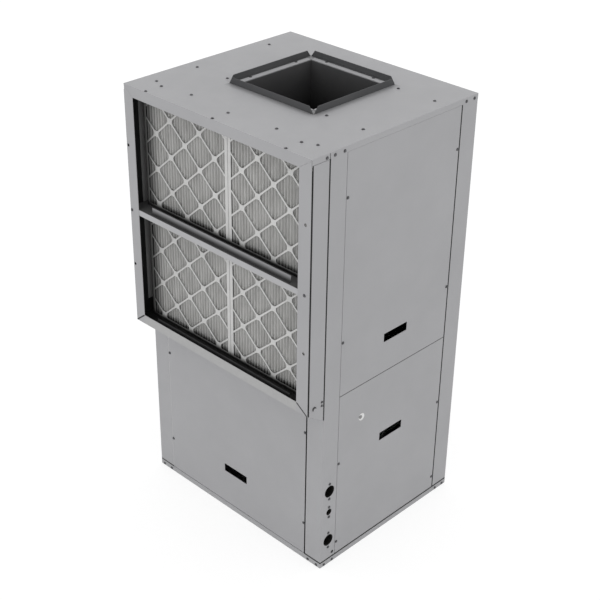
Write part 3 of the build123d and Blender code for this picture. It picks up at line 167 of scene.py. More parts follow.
def white_rays(tree):
    """1 for a ray from the camera, a glossy ray or a transmission ray, and 0 for the rest."""
    path = tree.nodes.new("ShaderNodeLightPath")
    seen = None
    for name in ("Is Camera Ray", "Is Glossy Ray", "Is Transmission Ray"):
        if seen is None:
            seen = path.outputs[name]
            continue
        most = tree.nodes.new("ShaderNodeMath")
        most.operation = "MAXIMUM"
        tree.links.new(seen, most.inputs[0])
        tree.links.new(path.outputs[name], most.inputs[1])
        seen = most.outputs[0]
    return seen


def set_view():
    bpy.context.scene.view_settings.view_transform = "Standard"


def add_world():
    world = bpy.data.worlds.new("studio")
    bpy.context.scene.world = world
    world.use_nodes = True
    tree = world.node_tree
    tree.nodes.clear()
    lit = tree.nodes.new("ShaderNodeBackground")
    lit.inputs["Color"].default_value = (1.0, 1.0, 1.0, 1)
    lit.inputs["Strength"].default_value = WORLD_LEVEL
    white = tree.nodes.new("ShaderNodeBackground")
    white.inputs["Color"].default_value = (1, 1, 1, 1)
    white.inputs["Strength"].default_value = 1.0
    mix = tree.nodes.new("ShaderNodeMixShader")
    tree.links.new(white_rays(tree), mix.inputs[0])
    tree.links.new(lit.outputs[0], mix.inputs[1])
    tree.links.new(white.outputs[0], mix.inputs[2])
    output = tree.nodes.new("ShaderNodeOutputWorld")
    tree.links.new(mix.outputs[0], output.inputs[0])


def add_floor():
    reach = FLOOR_REACH
    corners = [(-reach, -reach), (reach, -reach), (reach, reach), (-reach, reach)]
    mesh = bpy.data.meshes.new("floor")
    mesh.from_pydata([(x, y, FLOOR_LEVEL) for x, y in corners], [], [(0, 1, 2, 3)])
    floor = bpy.data.objects.new("floor", mesh)
    bpy.context.scene.collection.objects.link(floor)
    paint = bpy.data.materials.new("floor_white")
    paint.use_nodes = True
    tree = paint.node_tree
    tree.nodes.clear()
    plain = tree.nodes.new("ShaderNodeBsdfDiffuse")
    plain.inputs["Color"].default_value = (FLOOR_BOUNCE, FLOOR_BOUNCE, FLOOR_BOUNCE, 1)
    shaded = tree.nodes.new("ShaderNodeBsdfDiffuse")
    shaded.inputs["Color"].default_value = (FLOOR_SHADOW, FLOOR_SHADOW, FLOOR_SHADOW, 1)
    glow = tree.nodes.new("ShaderNodeEmission")
    glow.inputs["Color"].default_value = (1, 1, 1, 1)
    glow.inputs["Strength"].default_value = FLOOR_GLOW
    both = tree.nodes.new("ShaderNodeAddShader")
    tree.links.new(shaded.outputs[0], both.inputs[0])
    tree.links.new(glow.outputs[0], both.inputs[1])
    mix = tree.nodes.new("ShaderNodeMixShader")
    tree.links.new(white_rays(tree), mix.inputs[0])
    tree.links.new(plain.outputs[0], mix.inputs[1])
    tree.links.new(both.outputs[0], mix.inputs[2])
    output = tree.nodes.new("ShaderNodeOutputMaterial")
    tree.links.new(mix.outputs[0], output.inputs[0])
    mesh.materials.append(paint)


set_view()
add_camera()
add_world()
add_floor()
area_light("key", KEY_PLACE, KEY_TARGET, KEY_SIZE, KEY_POWER)
area_light("fill", FILL_PLACE, FILL_TARGET, FILL_SIZE, FILL_POWER)


# Materials


class Recipe:
    """A material under construction: its tree, its main shader and the object's coordinates."""

    def __init__(self, name):
        self.material = bpy.data.materials.new(name)
        self.material.use_nodes = True
        self.tree = self.material.node_tree
        self.tree.nodes.clear()
        self.shader = self.tree.nodes.new("ShaderNodeBsdfPrincipled")
        output = self.tree.nodes.new("ShaderNodeOutputMaterial")
        self.tree.links.new(self.shader.outputs[0], output.inputs[0])
        self.place = self.tree.nodes.new("ShaderNodeTexCoord").outputs["Object"]

    def stretched(self, scale):
        mapping = self.tree.nodes.new("ShaderNodeMapping")
        mapping.inputs["Scale"].default_value = scale
        self.tree.links.new(self.place, mapping.inputs["Vector"])
        return mapping.outputs[0]

    def noise(self, scale, detail=3.0, rough=0.55, at=None):
        texture = self.tree.nodes.new("ShaderNodeTexNoise")
        texture.inputs["Scale"].default_value = scale
        texture.inputs["Detail"].default_value = detail
        texture.inputs["Roughness"].default_value = rough
        self.tree.links.new(at or self.place, texture.inputs["Vector"])
        return texture.outputs["Fac"]

    def cells(self, scale, at=None):
        texture = self.tree.nodes.new("ShaderNodeTexVoronoi")
        texture.inputs["Scale"].default_value = scale
        self.tree.links.new(at or self.place, texture.inputs["Vector"])
        grey = self.tree.nodes.new("ShaderNodeSeparateColor")
        self.tree.links.new(texture.outputs["Color"], grey.inputs[0])
        return grey.outputs[0]

    def ramp(self, value, low, high, start=0.3, end=0.7):
        ramp = self.tree.nodes.new("ShaderNodeValToRGB")
        ramp.color_ramp.elements[0].position = start
        ramp.color_ramp.elements[1].position = end
        ramp.color_ramp.elements[0].color = (*low, 1)
        ramp.color_ramp.elements[1].color = (*high, 1)
        self.tree.links.new(value, ramp.inputs[0])
        return ramp.outputs[0]

    def spread(self, value, low, high, start=0.3, end=0.7):
        span = self.tree.nodes.new("ShaderNodeMapRange")
        span.inputs["From Min"].default_value = start
        span.inputs["From Max"].default_value = end
        span.inputs["To Min"].default_value = low
        span.inputs["To Max"].default_value = high
        self.tree.links.new(value, span.inputs["Value"])
        return span.outputs[0]

    def mixed(self, share, one, two):
        mix = self.tree.nodes.new("ShaderNodeMix")
        mix.data_type = "RGBA"
        self.tree.links.new(share, mix.inputs[0])
        self.tree.links.new(one, mix.inputs[6])
        self.tree.links.new(two, mix.inputs[7])
        return mix.outputs[2]

    def multiplied(self, one, two):
        mix = self.tree.nodes.new("ShaderNodeMix")
        mix.data_type = "RGBA"
        mix.blend_type = "MULTIPLY"
        mix.inputs[0].default_value = 1.0
        self.tree.links.new(one, mix.inputs[6])
        self.tree.links.new(two, mix.inputs[7])
        return mix.outputs[2]

    def axes(self):
        split = self.tree.nodes.new("ShaderNodeSeparateXYZ")
        self.tree.links.new(self.place, split.inputs[0])
        return split.outputs

    def maths(self, operation, one, two):
        node = self.tree.nodes.new("ShaderNodeMath")
        node.operation = operation
        for socket, value in zip(node.inputs, (one, two)):
            if isinstance(value, float):
                socket.default_value = value
            else:
                self.tree.links.new(value, socket)
        return node.outputs[0]

    def within(self, low, high):
        """1 inside a box, and 0 outside it. A side given as None is open."""
        share = None
        for value, start, end in zip(self.axes(), low, high):
            for operation, limit in (("GREATER_THAN", start), ("LESS_THAN", end)):
                if limit is None:
                    continue
                test = self.maths(operation, value, limit)
                share = test if share is None else self.maths("MULTIPLY", share, test)
        return share

    def beside(self, start, end, half):
        """1 beside the line between two points of the y-z plane, and 0 away from it."""
        _, y, z = self.axes()
        run = math.dist(start, end)
        rise = self.maths("MULTIPLY", self.maths("SUBTRACT", z, start[1]), (end[0] - start[0]) / run)
        along = self.maths("MULTIPLY", self.maths("SUBTRACT", y, start[0]), (end[1] - start[1]) / run)
        off = self.maths("ABSOLUTE", self.maths("SUBTRACT", rise, along), 0.0)
        box = self.within((None, min(start[0], end[0]), start[1]), (None, max(start[0], end[0]), end[1]))
        return self.maths("MULTIPLY", box, self.maths("LESS_THAN", off, half))

    def bump(self, value, strength, distance):
        bump = self.tree.nodes.new("ShaderNodeBump")
        bump.inputs["Strength"].default_value = strength
        bump.inputs["Distance"].default_value = distance
        self.tree.links.new(value, bump.inputs["Height"])
        self.tree.links.new(bump.outputs[0], self.shader.inputs["Normal"])

    def feed(self, socket, value):
        self.tree.links.new(value, self.shader.inputs[socket])

    def set(self, socket, value):
        self.shader.inputs[socket].default_value = value


def shade(colour, factor):
    return tuple(c * factor for c in colour)


def clouded(r, colour, spread=0.03):
    """The colour with faint clouding and faint speckle."""
    cloud = r.ramp(r.noise(5.0, 4.0), shade(colour, 1 - spread), shade(colour, 1 + spread))
    return r.multiplied(cloud, r.ramp(r.noise(1400.0, 2.0), (0.965,) * 3, (1.0,) * 3))


def satin(r, low=0.46, high=0.56):
    """Satin roughness and the fine surface grain of coated sheet."""
    r.feed("Roughness", r.spread(r.noise(22.0, 3.0), low, high))
    r.bump(r.noise(900.0, 2.0), 0.05, 0.0004)


def disc(r, one, one_middle, two, two_middle, radius):
    """0 inside a circle in the plane of two coordinates, and 1 outside it."""
    across = r.maths("SUBTRACT", one, one_middle)
    rise = r.maths("SUBTRACT", two, two_middle)
    squares = r.maths("ADD", r.maths("MULTIPLY", across, across), r.maths("MULTIPLY", rise, rise))
    return r.maths("GREATER_THAN", squares, radius ** 2)


def coated_sheet(name, colour, spread=0.03, rough=(0.46, 0.56), light_and_shade_boxes=(), slits=()):
    """Satin coated sheet, with painted shade and painted light in some places, and dark lines of painted
    shade along slits in others.

    Each box has its lowest and highest corners, and the tone painted there: dark for shade, pale for light.
    Each slit has the two ends of its line, in the y-z plane.
    """
    r = Recipe(name)
    finish = clouded(r, colour, spread)
    for low, high, tone in light_and_shade_boxes:
        # Painted shade in each box, or painted light where its tone is pale
        painted_tone = r.ramp(r.noise(60.0, 4.0), (tone * 0.97,) * 3, (tone * 1.03,) * 3)
        finish = r.mixed(r.within(low, high), finish, painted_tone)
    # Dark lines painted along each slit: the shade in the mitre gaps
    for start, end in slits:
        gap = r.ramp(r.noise(60.0, 4.0), (0.016,) * 3, (0.024,) * 3)
        finish = r.mixed(r.beside(start, end, SLIT_HALF), finish, gap)
    r.feed("Base Color", finish)
    satin(r, *rough)
    r.set("Metallic", 0.0)
    r.set("Specular IOR Level", 0.4)
    return r.material


def spangled(name, low, high, rough=(0.3, 0.48)):
    """Galvanised sheet, with its crystals in slightly different greys."""
    r = Recipe(name)
    crystal = r.cells(75.0)
    r.feed("Base Color", r.ramp(crystal, low, high, 0.0, 1.0))
    r.feed("Roughness", r.spread(crystal, rough[0], rough[1], 0.0, 1.0))
    r.bump(r.noise(420.0, 3.0), 0.06, 0.0004)
    r.set("Metallic", 0.85)
    return r.material


def worn_metal(name, low, high, rough=(0.22, 0.42), scale=9.0):
    """Bare metal with soft tarnish and drawing lines."""
    r = Recipe(name)
    r.feed("Base Color", r.ramp(r.noise(scale, 5.0), low, high))
    r.feed("Roughness", r.spread(r.noise(scale * 3, 4.0), rough[0], rough[1]))
    r.bump(r.noise(260.0, 4.0), 0.08, 0.0004)
    r.set("Metallic", 1.0)
    return r.material


def moulded(name, low, high, rough=(0.4, 0.55), grain=500.0, depth=0.12):
    """Moulded plastic, rubber or paint with a fine grain."""
    r = Recipe(name)
    r.feed("Base Color", r.ramp(r.noise(14.0, 4.0), low, high))
    r.feed("Roughness", r.spread(r.noise(40.0, 3.0), rough[0], rough[1]))
    r.bump(r.noise(grain, 3.0), depth, 0.0004)
    return r.material


def painted_filter_shade(r, colour):
    """The same colour, darkened by painted shade at the foot of each filter, towards and at its far end,
    and along the seam between the two filters.
    """
    _, y, z = r.axes()
    upper = r.maths("GREATER_THAN", z, RAIL_TOP)
    level = r.maths("ADD", r.maths("MULTIPLY", upper, RAIL_TOP - SHELF), SHELF)
    foot = r.spread(r.maths("SUBTRACT", z, level), 0.0, 1.0, FOOT_BLACK, FOOT_CLEAR)
    end = r.spread(y, 1.0, 0.0, END_CLEAR, END_BLACK)
    far_shade = r.spread(y, 1.0, END_TONE, 0.0, END_CLEAR)
    seam = r.maths("ABSOLUTE", r.maths("SUBTRACT", y, FILTER_SEAM), 0.0)
    clear = r.spread(r.maths("LESS_THAN", seam, SEAM_HALF), 1.0, SEAM_TONE)
    share = r.maths("MULTIPLY", r.maths("MULTIPLY", foot, end), r.maths("MULTIPLY", far_shade, clear))
    grey = r.ramp(share, (0.0, 0.0, 0.0), (1.0, 1.0, 1.0), 0.0, 1.0)
    return r.multiplied(colour, grey)


def paper_board(name):
    """Coated board of the filter frames, with fibres and slightly darker patches."""
    r = Recipe(name)
    patches = r.ramp(r.noise(26.0, 5.0), (0.65, 0.65, 0.645), (0.72, 0.72, 0.715))
    fibres = r.ramp(r.noise(220.0, 5.0, 0.7), (0.93, 0.93, 0.92), (1.0, 1.0, 1.0))
    # Painted shade of the filters over the board
    r.feed("Base Color", painted_filter_shade(r, r.multiplied(patches, fibres)))
    r.feed("Roughness", r.spread(r.noise(60.0), 0.62, 0.8))
    r.bump(r.noise(650.0, 4.0, 0.7), 0.15, 0.0004)
    return r.material


def pleat_cloth(name):
    """Fibre medium of the pleats: matted fibres along the folds, in a grey beige."""
    r = Recipe(name)
    along = r.stretched((1.0, 1.0, 0.28))
    mats = r.ramp(r.noise(46.0, 6.0, 0.65, along), (0.48, 0.478, 0.470), (0.67, 0.668, 0.659))
    threads = r.ramp(r.noise(900.0, 5.0, 0.8), (0.84, 0.84, 0.83), (1.0, 1.0, 1.0))
    # Painted shade of the filters over the pleats
    r.feed("Base Color", painted_filter_shade(r, r.multiplied(mats, threads)))
    r.feed("Roughness", r.spread(r.noise(90.0), 0.86, 0.97))
    r.bump(r.noise(520.0, 6.0, 0.8), 0.5, 0.0008)
    r.set("Specular IOR Level", 0.2)
    r.set("Sheen Weight", 0.15)
    return r.material


def faced_fibre(name):
    """Black facing of the insulation, with its matted fibres."""
    r = Recipe(name)
    r.feed("Base Color", r.ramp(r.noise(60.0, 6.0, 0.7), (0.012,) * 3, (0.035,) * 3))
    r.feed("Roughness", r.spread(r.noise(120.0), 0.85, 0.98))
    r.bump(r.noise(380.0, 6.0, 0.8), 0.7, 0.001)
    r.set("Specular IOR Level", 0.15)
    return r.material


def throat_sheet(name):
    """Dull sheet of the blower's housing, darkened by painted shade away from its mouth."""
    r = Recipe(name)
    z = r.axes()[2]
    cloud = r.ramp(r.noise(7.0, 4.0), (0.066, 0.066, 0.068), (0.082, 0.082, 0.084))
    # Painted shade, darker deeper in the throat
    depth = r.spread(z, 0.0, 1.0, TOP - 0.15, TOP)
    grey = r.ramp(depth, (0.0, 0.0, 0.0), (1.0, 1.0, 1.0), 0.0, 1.0)
    r.feed("Base Color", r.multiplied(cloud, grey))
    r.feed("Roughness", r.spread(r.noise(30.0, 3.0), 0.55, 0.7))
    r.bump(r.noise(420.0, 3.0), 0.05, 0.0004)
    return r.material


def strip_sheet(name, colour):
    """Coated sheet of the retaining strips, darkened by painted shade, most along its foot and nearly black
    on the lower strips.
    """
    r = Recipe(name)
    z = r.axes()[2]
    finish = clouded(r, colour)
    # Painted shade towards the foot of each strip
    upper = r.spread(z, 0.10, 0.68, RAIL_TOP + 0.003, RAIL_TOP + 0.016)
    lower = r.spread(z, 0.02, 0.12, SHELF + 0.006, SHELF + 0.018)
    raised = r.maths("GREATER_THAN", z, RAIL_TOP - 0.01)
    share = r.maths("MULTIPLY", upper, raised)
    rest = r.maths("MULTIPLY", lower, r.maths("SUBTRACT", 1.0, raised))
    grey = r.ramp(r.maths("ADD", share, rest), (0.0, 0.0, 0.0), (1.0, 1.0, 1.0), 0.0, 1.0)
    r.feed("Base Color", r.multiplied(finish, grey))
    satin(r)
    return r.material


def knob_paint(name, colour):
    """Coated latch head of the door, pale inside a circle, with painted shade in the crescent beside it."""
    r = Recipe(name)
    x, _, z = r.axes()
    # Painted shade in the crescent outside this circle
    cut = disc(r, x, KNOB_X + 0.0015, z, KNOB_Z - 0.0038, 0.0058)
    cloud = r.ramp(r.noise(40.0, 4.0), shade(colour, 0.97), shade(colour, 1.03))
    dark = r.ramp(r.noise(90.0, 4.0), (0.03,) * 3, (0.05,) * 3)
    r.feed("Base Color", r.mixed(cut, cloud, dark))
    satin(r)
    return r.material


def flange_sheet(name):
    """Dull dark upturned flanges on coated feet, the feet painted a little paler than the top as painted
    light.
    """
    r = Recipe(name)
    dark = r.ramp(r.noise(5.0, 4.0), (0.068, 0.069, 0.072), (0.088, 0.089, 0.092))
    # Feet a little paler than the grey: painted light beside the flanges
    pale = r.ramp(r.noise(5.0, 4.0), shade(GREY, 1.02), shade(GREY, 1.08))
    r.feed("Base Color", r.mixed(r.within(*FOOT_BOX), dark, pale))
    satin(r, 0.5, 0.66)
    return r.material


def top_sheet(name, colour):
    """Coated top, with painted shade in front of the duct flanges and inside its lip."""
    r = Recipe(name)
    x, y, _ = r.axes()
    # Painted shade on the top in front of the near duct flanges
    left = r.spread(x, 1.0, 0.0, supply_low.x - FLANGE_SHADE_REACH, supply_low.x - 0.001)
    near = r.spread(y, 1.0, 0.0, supply_low.y - FLANGE_SHADE_REACH, supply_low.y - 0.001)
    beyond_x = r.maths("GREATER_THAN", x, supply_high.x)
    beyond_y = r.maths("GREATER_THAN", y, supply_high.y)
    outside = r.maths("MAXIMUM", r.maths("MAXIMUM", left, near), r.maths("MAXIMUM", beyond_x, beyond_y))
    flange_shade = r.ramp(outside, (FLANGE_SHADE_TONE,) * 3, (1.0,) * 3, 0.0, 1.0)
    finish = r.multiplied(clouded(r, colour), flange_shade)
    # Painted shade inside the lip
    inside_shade = r.ramp(r.noise(60.0, 4.0), (0.029,) * 3, (0.031,) * 3)
    r.feed("Base Color", r.mixed(r.within(*INNER[:2]), finish, inside_shade))
    satin(r)
    r.set("Specular IOR Level", 0.4)
    return r.material


def plug_paint(name):
    """Pale plug with a painted highlight on its crescent and painted shade in the disc beside its middle.
    """
    r = Recipe(name)
    x, _, z = r.axes()
    low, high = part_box("hole_plug")
    middle, reach = (low + high) / 2, (high.x - low.x) / 2
    # Painted shade inside this circle, and a painted highlight on the crescent outside it
    rim = disc(r, x, middle.x - 0.48 * reach, z, middle.z + 0.22 * reach, 0.50 * reach)
    dull = r.ramp(r.noise(60.0, 4.0), (0.22,) * 3, (0.27,) * 3)
    pale = r.ramp(r.noise(60.0, 4.0), (0.80,) * 3, (0.86,) * 3)
    r.feed("Base Color", r.mixed(rim, dull, pale))
    r.feed("Roughness", r.spread(r.noise(40.0, 3.0), 0.2, 0.3))
    r.bump(r.noise(400.0, 3.0), 0.03, 0.0004)
    return r.material


# Tones, in linear light
GREY = (0.425, 0.425, 0.437)
# A lit copy of the grey: painted light, used on the mid rail
LIT_GREY = shade(GREY, 1.13)
# Tone of the painted shade in front of the duct flanges
FLANGE_SHADE_TONE = 0.62

# Places on the sheets, from the solids: edges of panels, flanges, seams and the painted shade beside the
# flanges
EDGE = 0.0013
# Tone of the painted shade in seams, recesses and behind the door
RECESS_SHADE = 0.02
FLANGE_SHADE_REACH = 0.020
FOOT_INSET = 0.0065
KNOB_X = LEFT - 0.037
KNOB_Z = SHELF + 0.002
DOOR_LOW_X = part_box("filter_rack_door")[0].x
DOOR_HIGH_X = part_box("filter_rack_door")[1].x
PANEL_LOW_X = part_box("upper_front_panel")[0].x
PANEL_HIGH_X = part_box("upper_front_panel")[1].x
PANEL_HIGH_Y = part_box("lower_left_panel")[1].y
RAIL_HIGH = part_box("lower_front_panel")[0].z
SPLIT_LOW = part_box("lower_front_panel")[1].z - 0.0009
SPLIT_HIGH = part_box("upper_front_panel")[0].z + 0.0009
SEAM_LOW, SEAM_HIGH = RAIL_HIGH - 0.0034, RAIL_HIGH + 0.0018
supply_low, supply_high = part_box("duct_flanges")
FOOT_BOX = (
    (supply_low.x + EDGE, supply_low.y + EDGE, None),
    (supply_high.x - FOOT_INSET, supply_high.y - FOOT_INSET, TOP + SHEET + 0.0003),
)
DOORWAY_LOW = (RACK_FACE + 0.043, BACK - 0.006, SHELF + 0.040)
RACK_OUTER = (FRONT + 0.0012, RACK_BOTTOM)
RACK_INNER = (FRONT + 0.0405, RACK_BOTTOM + RACK_FLANGE)
RACK_FAR_OUTER = (BACK, RACK_BOTTOM)
RACK_FAR_INNER = (BACK - 0.034, RACK_BOTTOM + RACK_FLANGE)

# Boxes of painted shade, and two of painted light: lowest corner, highest corner, tone
INNER = (LEFT + EDGE, FRONT + 0.0002, None), (RIGHT - EDGE, BACK - EDGE, TOP - EDGE), 0.03
BEHIND_DOOR = (
    (None, FRONT + 0.0002, RACK_BOTTOM + 0.001), (LEFT + 0.0005, BACK - EDGE / 2, TOP - 0.016), RECESS_SHADE,
)
DOOR_EDGE = (None, None, RACK_BOTTOM - 0.04), (LEFT + 0.0012, FRONT + 0.001, TOP - 0.016), RECESS_SHADE
RIGHT_SEAM = (RIGHT - 0.070, None, None), (RIGHT - 0.0608, None, None), RECESS_SHADE
LEFT_SEAT = (LEFT + 0.0004, FRONT + 0.03, None), (LEFT + 0.008, PANEL_LOW_Y + 0.004, RACK_BOTTOM), RECESS_SHADE
LEFT_EDGE = (None, PANEL_LOW_Y - 0.0024, None), (LEFT + 0.001, PANEL_LOW_Y + 0.002, RACK_BOTTOM), RECESS_SHADE
# Pale seats beside the front and far panel edges: painted light over the shade of their seams
FRONT_SEAT = (PANEL_LOW_X - 0.004, FRONT + 0.0001, None), (PANEL_LOW_X + 0.002, FRONT + 0.012, None), 0.85
FAR_SEAT = (
    (LEFT + 0.0004, PANEL_HIGH_Y - 0.004, None), (LEFT + 0.010, PANEL_HIGH_Y + 0.002, RACK_BOTTOM), 0.80,
)
PANEL_EDGE = (PANEL_HIGH_X - 0.0010, None, None), (None, None, None), RECESS_SHADE
PANEL_SPLIT = (None, None, SPLIT_LOW), (None, None, SPLIT_HIGH), 0.16
RAIL_INSIDE = (RACK_FACE + SHEET + 0.0006, None, None), (None, None, None)
# Painted shade along the seam at the foot of the cabinet
FOOT_SEAM = [
    ((None, None, SEAM_LOW), (None, FRONT + 0.003, SEAM_HIGH), 0.03),
    ((None, None, SEAM_LOW), (LEFT + 0.003, PANEL_LOW_Y, SEAM_HIGH), 0.05),
    ((None, PANEL_HIGH_Y, SEAM_LOW), (LEFT + 0.003, None, SEAM_HIGH), 0.08),
]

# One material for each material of the solids
materials = {
    "painted_steel": coated_sheet("painted_steel_satin", GREY),
    "dark_steel": coated_sheet("dark_steel_dull", (0.078, 0.079, 0.082), 0.12, (0.5, 0.66)),
    "galvanised": spangled("galvanised_spangle", (0.36, 0.37, 0.38), (0.52, 0.53, 0.54)),
    "bright_steel": worn_metal("bright_steel_drawn", (0.5, 0.5, 0.49), (0.66, 0.66, 0.65)),
    "screw_steel": worn_metal(
        "screw_steel_zinc", (0.10, 0.10, 0.105), (0.17, 0.17, 0.175), (0.35, 0.5), 90.0,
    ),
    "black_paint": moulded("black_paint_gloss", (0.012,) * 3, (0.024,) * 3, (0.22, 0.36), 300.0, 0.08),
    "copper": worn_metal("copper_drawn", (0.55, 0.25, 0.13), (0.80, 0.42, 0.26), (0.2, 0.4)),
    "brass": worn_metal("brass_turned", (0.55, 0.38, 0.14), (0.74, 0.56, 0.27), (0.24, 0.4)),
    "fin_aluminium": worn_metal("fin_aluminium_sheet", (0.62, 0.63, 0.64), (0.74, 0.75, 0.76), (0.3, 0.45)),
    "filter_board": paper_board("filter_board_paper"),
    "insulation": faced_fibre("insulation_facing"),
    "plug_plastic": moulded("plug_plastic_gloss", (0.56,) * 3, (0.64,) * 3, (0.16, 0.24), 400.0, 0.03),
    "black_plastic": moulded("black_plastic_grain", (0.014,) * 3, (0.026,) * 3),
    "clear_plastic": moulded(
        "clear_plastic_vinyl", (0.5, 0.5, 0.47), (0.62, 0.62, 0.58), (0.2, 0.32), 200.0, 0.04,
    ),
    "black_rubber": moulded("black_rubber_matt", (0.01,) * 3, (0.02,) * 3, (0.7, 0.85), 240.0, 0.2),
    "board_green": moulded(
        "board_green_mask", (0.012, 0.09, 0.035), (0.02, 0.14, 0.05), (0.25, 0.4), 160.0, 0.1,
    ),
}
cloth = pleat_cloth("filter_medium_cloth")
# The water and condensate lines are painted near black, for the shade in their deep bores
bore_shade = moulded("fitting_bore_shade", (0.006, 0.0055, 0.005), (0.014, 0.013, 0.011), (0.4, 0.6))

# Nodes with a finish of their own
special = {
    "blower_housing": throat_sheet("throat_steel_dull"),
    "duct_flanges": flange_sheet("duct_flange_dull"),
    "filter_retaining_strips": strip_sheet("retaining_strip_satin", GREY),
    "filter_door_screw": knob_paint("door_knob_satin", GREY),
    # Rack frame: painted shade inside the rack, black near the face and dark grey deeper on its far wall; a
    # flat tone a little paler than the grey, as painted light, on the face's bottom flange; painted shade
    # along the mitre gaps
    "filter_rack_frame": coated_sheet(
        "rack_frame_satin", GREY,
        light_and_shade_boxes=[
            ((RACK_FACE + EDGE, None, RACK_BOTTOM + 0.001), (LEFT - 0.0005, BACK - 0.001, None), 0.012),
            (DOORWAY_LOW, (LEFT - 0.0005, BACK - 0.0004, None), 0.25),
            ((None, RACK_INNER[0], None), (RACK_FACE + EDGE, RACK_FAR_INNER[0], RACK_INNER[1]), 0.44),
        ],
        slits=[(RACK_OUTER, RACK_INNER), (RACK_FAR_OUTER, RACK_FAR_INNER)],
    ),
    # Mid rail in the lit grey as painted light; painted shade inside the rack on rail and shelf
    "filter_rack_mid_rail": coated_sheet("rack_rail_satin", LIT_GREY, light_and_shade_boxes=[(*RAIL_INSIDE, 0.09)]),
    "filter_rack_shelf": coated_sheet("rack_shelf_satin", GREY, light_and_shade_boxes=[(*RAIL_INSIDE, 0.012)]),
    # Painted shade on the door's side edges, in its seams
    "filter_rack_door": coated_sheet(
        "rack_door_satin", GREY,
        light_and_shade_boxes=[
            ((None, FRONT + EDGE, None), (None, None, None), RECESS_SHADE),
            ((None, None, None), (DOOR_LOW_X + 0.0022, None, None), RECESS_SHADE),
            ((DOOR_HIGH_X - 0.0012, None, None), (None, None, None), RECESS_SHADE),
        ],
    ),
    # Painted shade on the left panel's front edge, in its seam
    "lower_left_panel": coated_sheet(
        "left_panel_satin", GREY, light_and_shade_boxes=[((None, None, None), (None, PANEL_LOW_Y + 0.0012, None), RECESS_SHADE)],
    ),
    # Painted shade along the base seam
    "base_pan": coated_sheet("base_pan_satin", GREY, light_and_shade_boxes=FOOT_SEAM),
    # Posts: painted shade inside, behind the door and in their seams, and pale painted light on two seats
    "post_front_left": coated_sheet(
        "front_left_satin", GREY,
        light_and_shade_boxes=[INNER, BEHIND_DOOR, DOOR_EDGE, LEFT_SEAT, LEFT_EDGE, FRONT_SEAT, *FOOT_SEAM],
    ),
    "post_front_right": coated_sheet("front_right_satin", GREY, light_and_shade_boxes=[INNER, RIGHT_SEAM, *FOOT_SEAM]),
    "post_back_left": coated_sheet(
        "back_left_satin", GREY, light_and_shade_boxes=[INNER, BEHIND_DOOR, FAR_SEAT, *FOOT_SEAM],
    ),
    "post_back_right": coated_sheet("back_right_satin", GREY, light_and_shade_boxes=[INNER]),
    "top_panel": top_sheet("top_panel_satin", GREY),
}
# Front panels: painted shade on the right edge, in the split and along the base seam
for panel in ("upper_front_panel", "lower_front_panel"):
    special[panel] = coated_sheet(f"{panel}_satin", GREY, light_and_shade_boxes=[PANEL_EDGE, PANEL_SPLIT, *FOOT_SEAM])
for line in ("water_inlet_line", "water_outlet_line", "condensate_line"):
    special[line] = bore_shade


# Mesh helpers


def made(name, points, faces, material, node, smooth=False):
    """A new piece that rides where a CAD node rides, and stands for it."""
    mesh = bpy.data.meshes.new(name)
    mesh.from_pydata([tuple(p) for p in points], [], faces)
    mesh.validate()
    mesh.update()
    return dressed(name, mesh, material, node, smooth)


def dressed(name, mesh, material, node, smooth=False):
    for polygon in mesh.polygons:
        polygon.use_smooth = smooth
    mesh.materials.clear()
    mesh.materials.append(material)
    piece = bpy.data.objects.new(name, mesh)
    bpy.context.scene.collection.objects.link(piece)
    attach(piece, nodes[node]["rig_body"])
    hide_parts(node)
    return piece


def from_bm(name, bm, material, node, smooth=False):
    bmesh.ops.recalc_face_normals(bm, faces=bm.faces)
    mesh = bpy.data.meshes.new(name)
    bm.to_mesh(mesh)
    bm.free()
    return dressed(name, mesh, material, node, smooth)


def bevel(piece, width, segments=2, angle=30.0):
    cut = piece.modifiers.new("bevel", "BEVEL")
    cut.width = width
    cut.segments = segments
    cut.limit_method = "ANGLE"
    cut.angle_limit = math.radians(angle)


def islands(node):
    """Lowest and highest corners of each separate lump of a CAD node."""
    bm = bmesh.new()
    bm.from_mesh(nodes[node].data)
    bmesh.ops.remove_doubles(bm, verts=bm.verts, dist=1e-6)
    seen = set()
    boxes = []
    for vert in bm.verts:
        if vert in seen:
            continue
        stack, lump = [vert], []
        seen.add(vert)
        while stack:
            v = stack.pop()
            lump.append(v.co.copy())
            for edge in v.link_edges:
                other = edge.other_vert(v)
                if other not in seen:
                    seen.add(other)
                    stack.append(other)
        low = Vector([min(p[i] for p in lump) for i in range(3)])
        high = Vector([max(p[i] for p in lump) for i in range(3)])
        boxes.append((low, high))
    bm.free()
    return boxes


def turned(bm, profile, sides, place, out, phase=0.0):
    """Adds a turned body: profile points are (radius, height along out)."""
    out = Vector(out).normalized()
    side = out.orthogonal().normalized()
    other = out.cross(side)
    rings = []
    for radius, height in profile:
        ring = []
        for i in range(sides):
            angle = 2 * math.pi * (i + phase) / sides
            spoke = side * math.cos(angle) + other * math.sin(angle)
            ring.append(bm.verts.new(Vector(place) + spoke * radius + out * height))
        rings.append(ring)
    for below, above in zip(rings, rings[1:]):
        for i in range(sides):
            j = (i + 1) % sides
            bm.faces.new((below[i], below[j], above[j], above[i]))
    bm.faces.new(list(reversed(rings[0])))
    bm.faces.new(rings[-1])


# Screws: hex washer heads, with a thread where the shank shows

HEAD_HEIGHT = 0.0024
LARGEST_HEX = 0.006
MIDDLE = Vector((0.03, 0.0, 0.62))


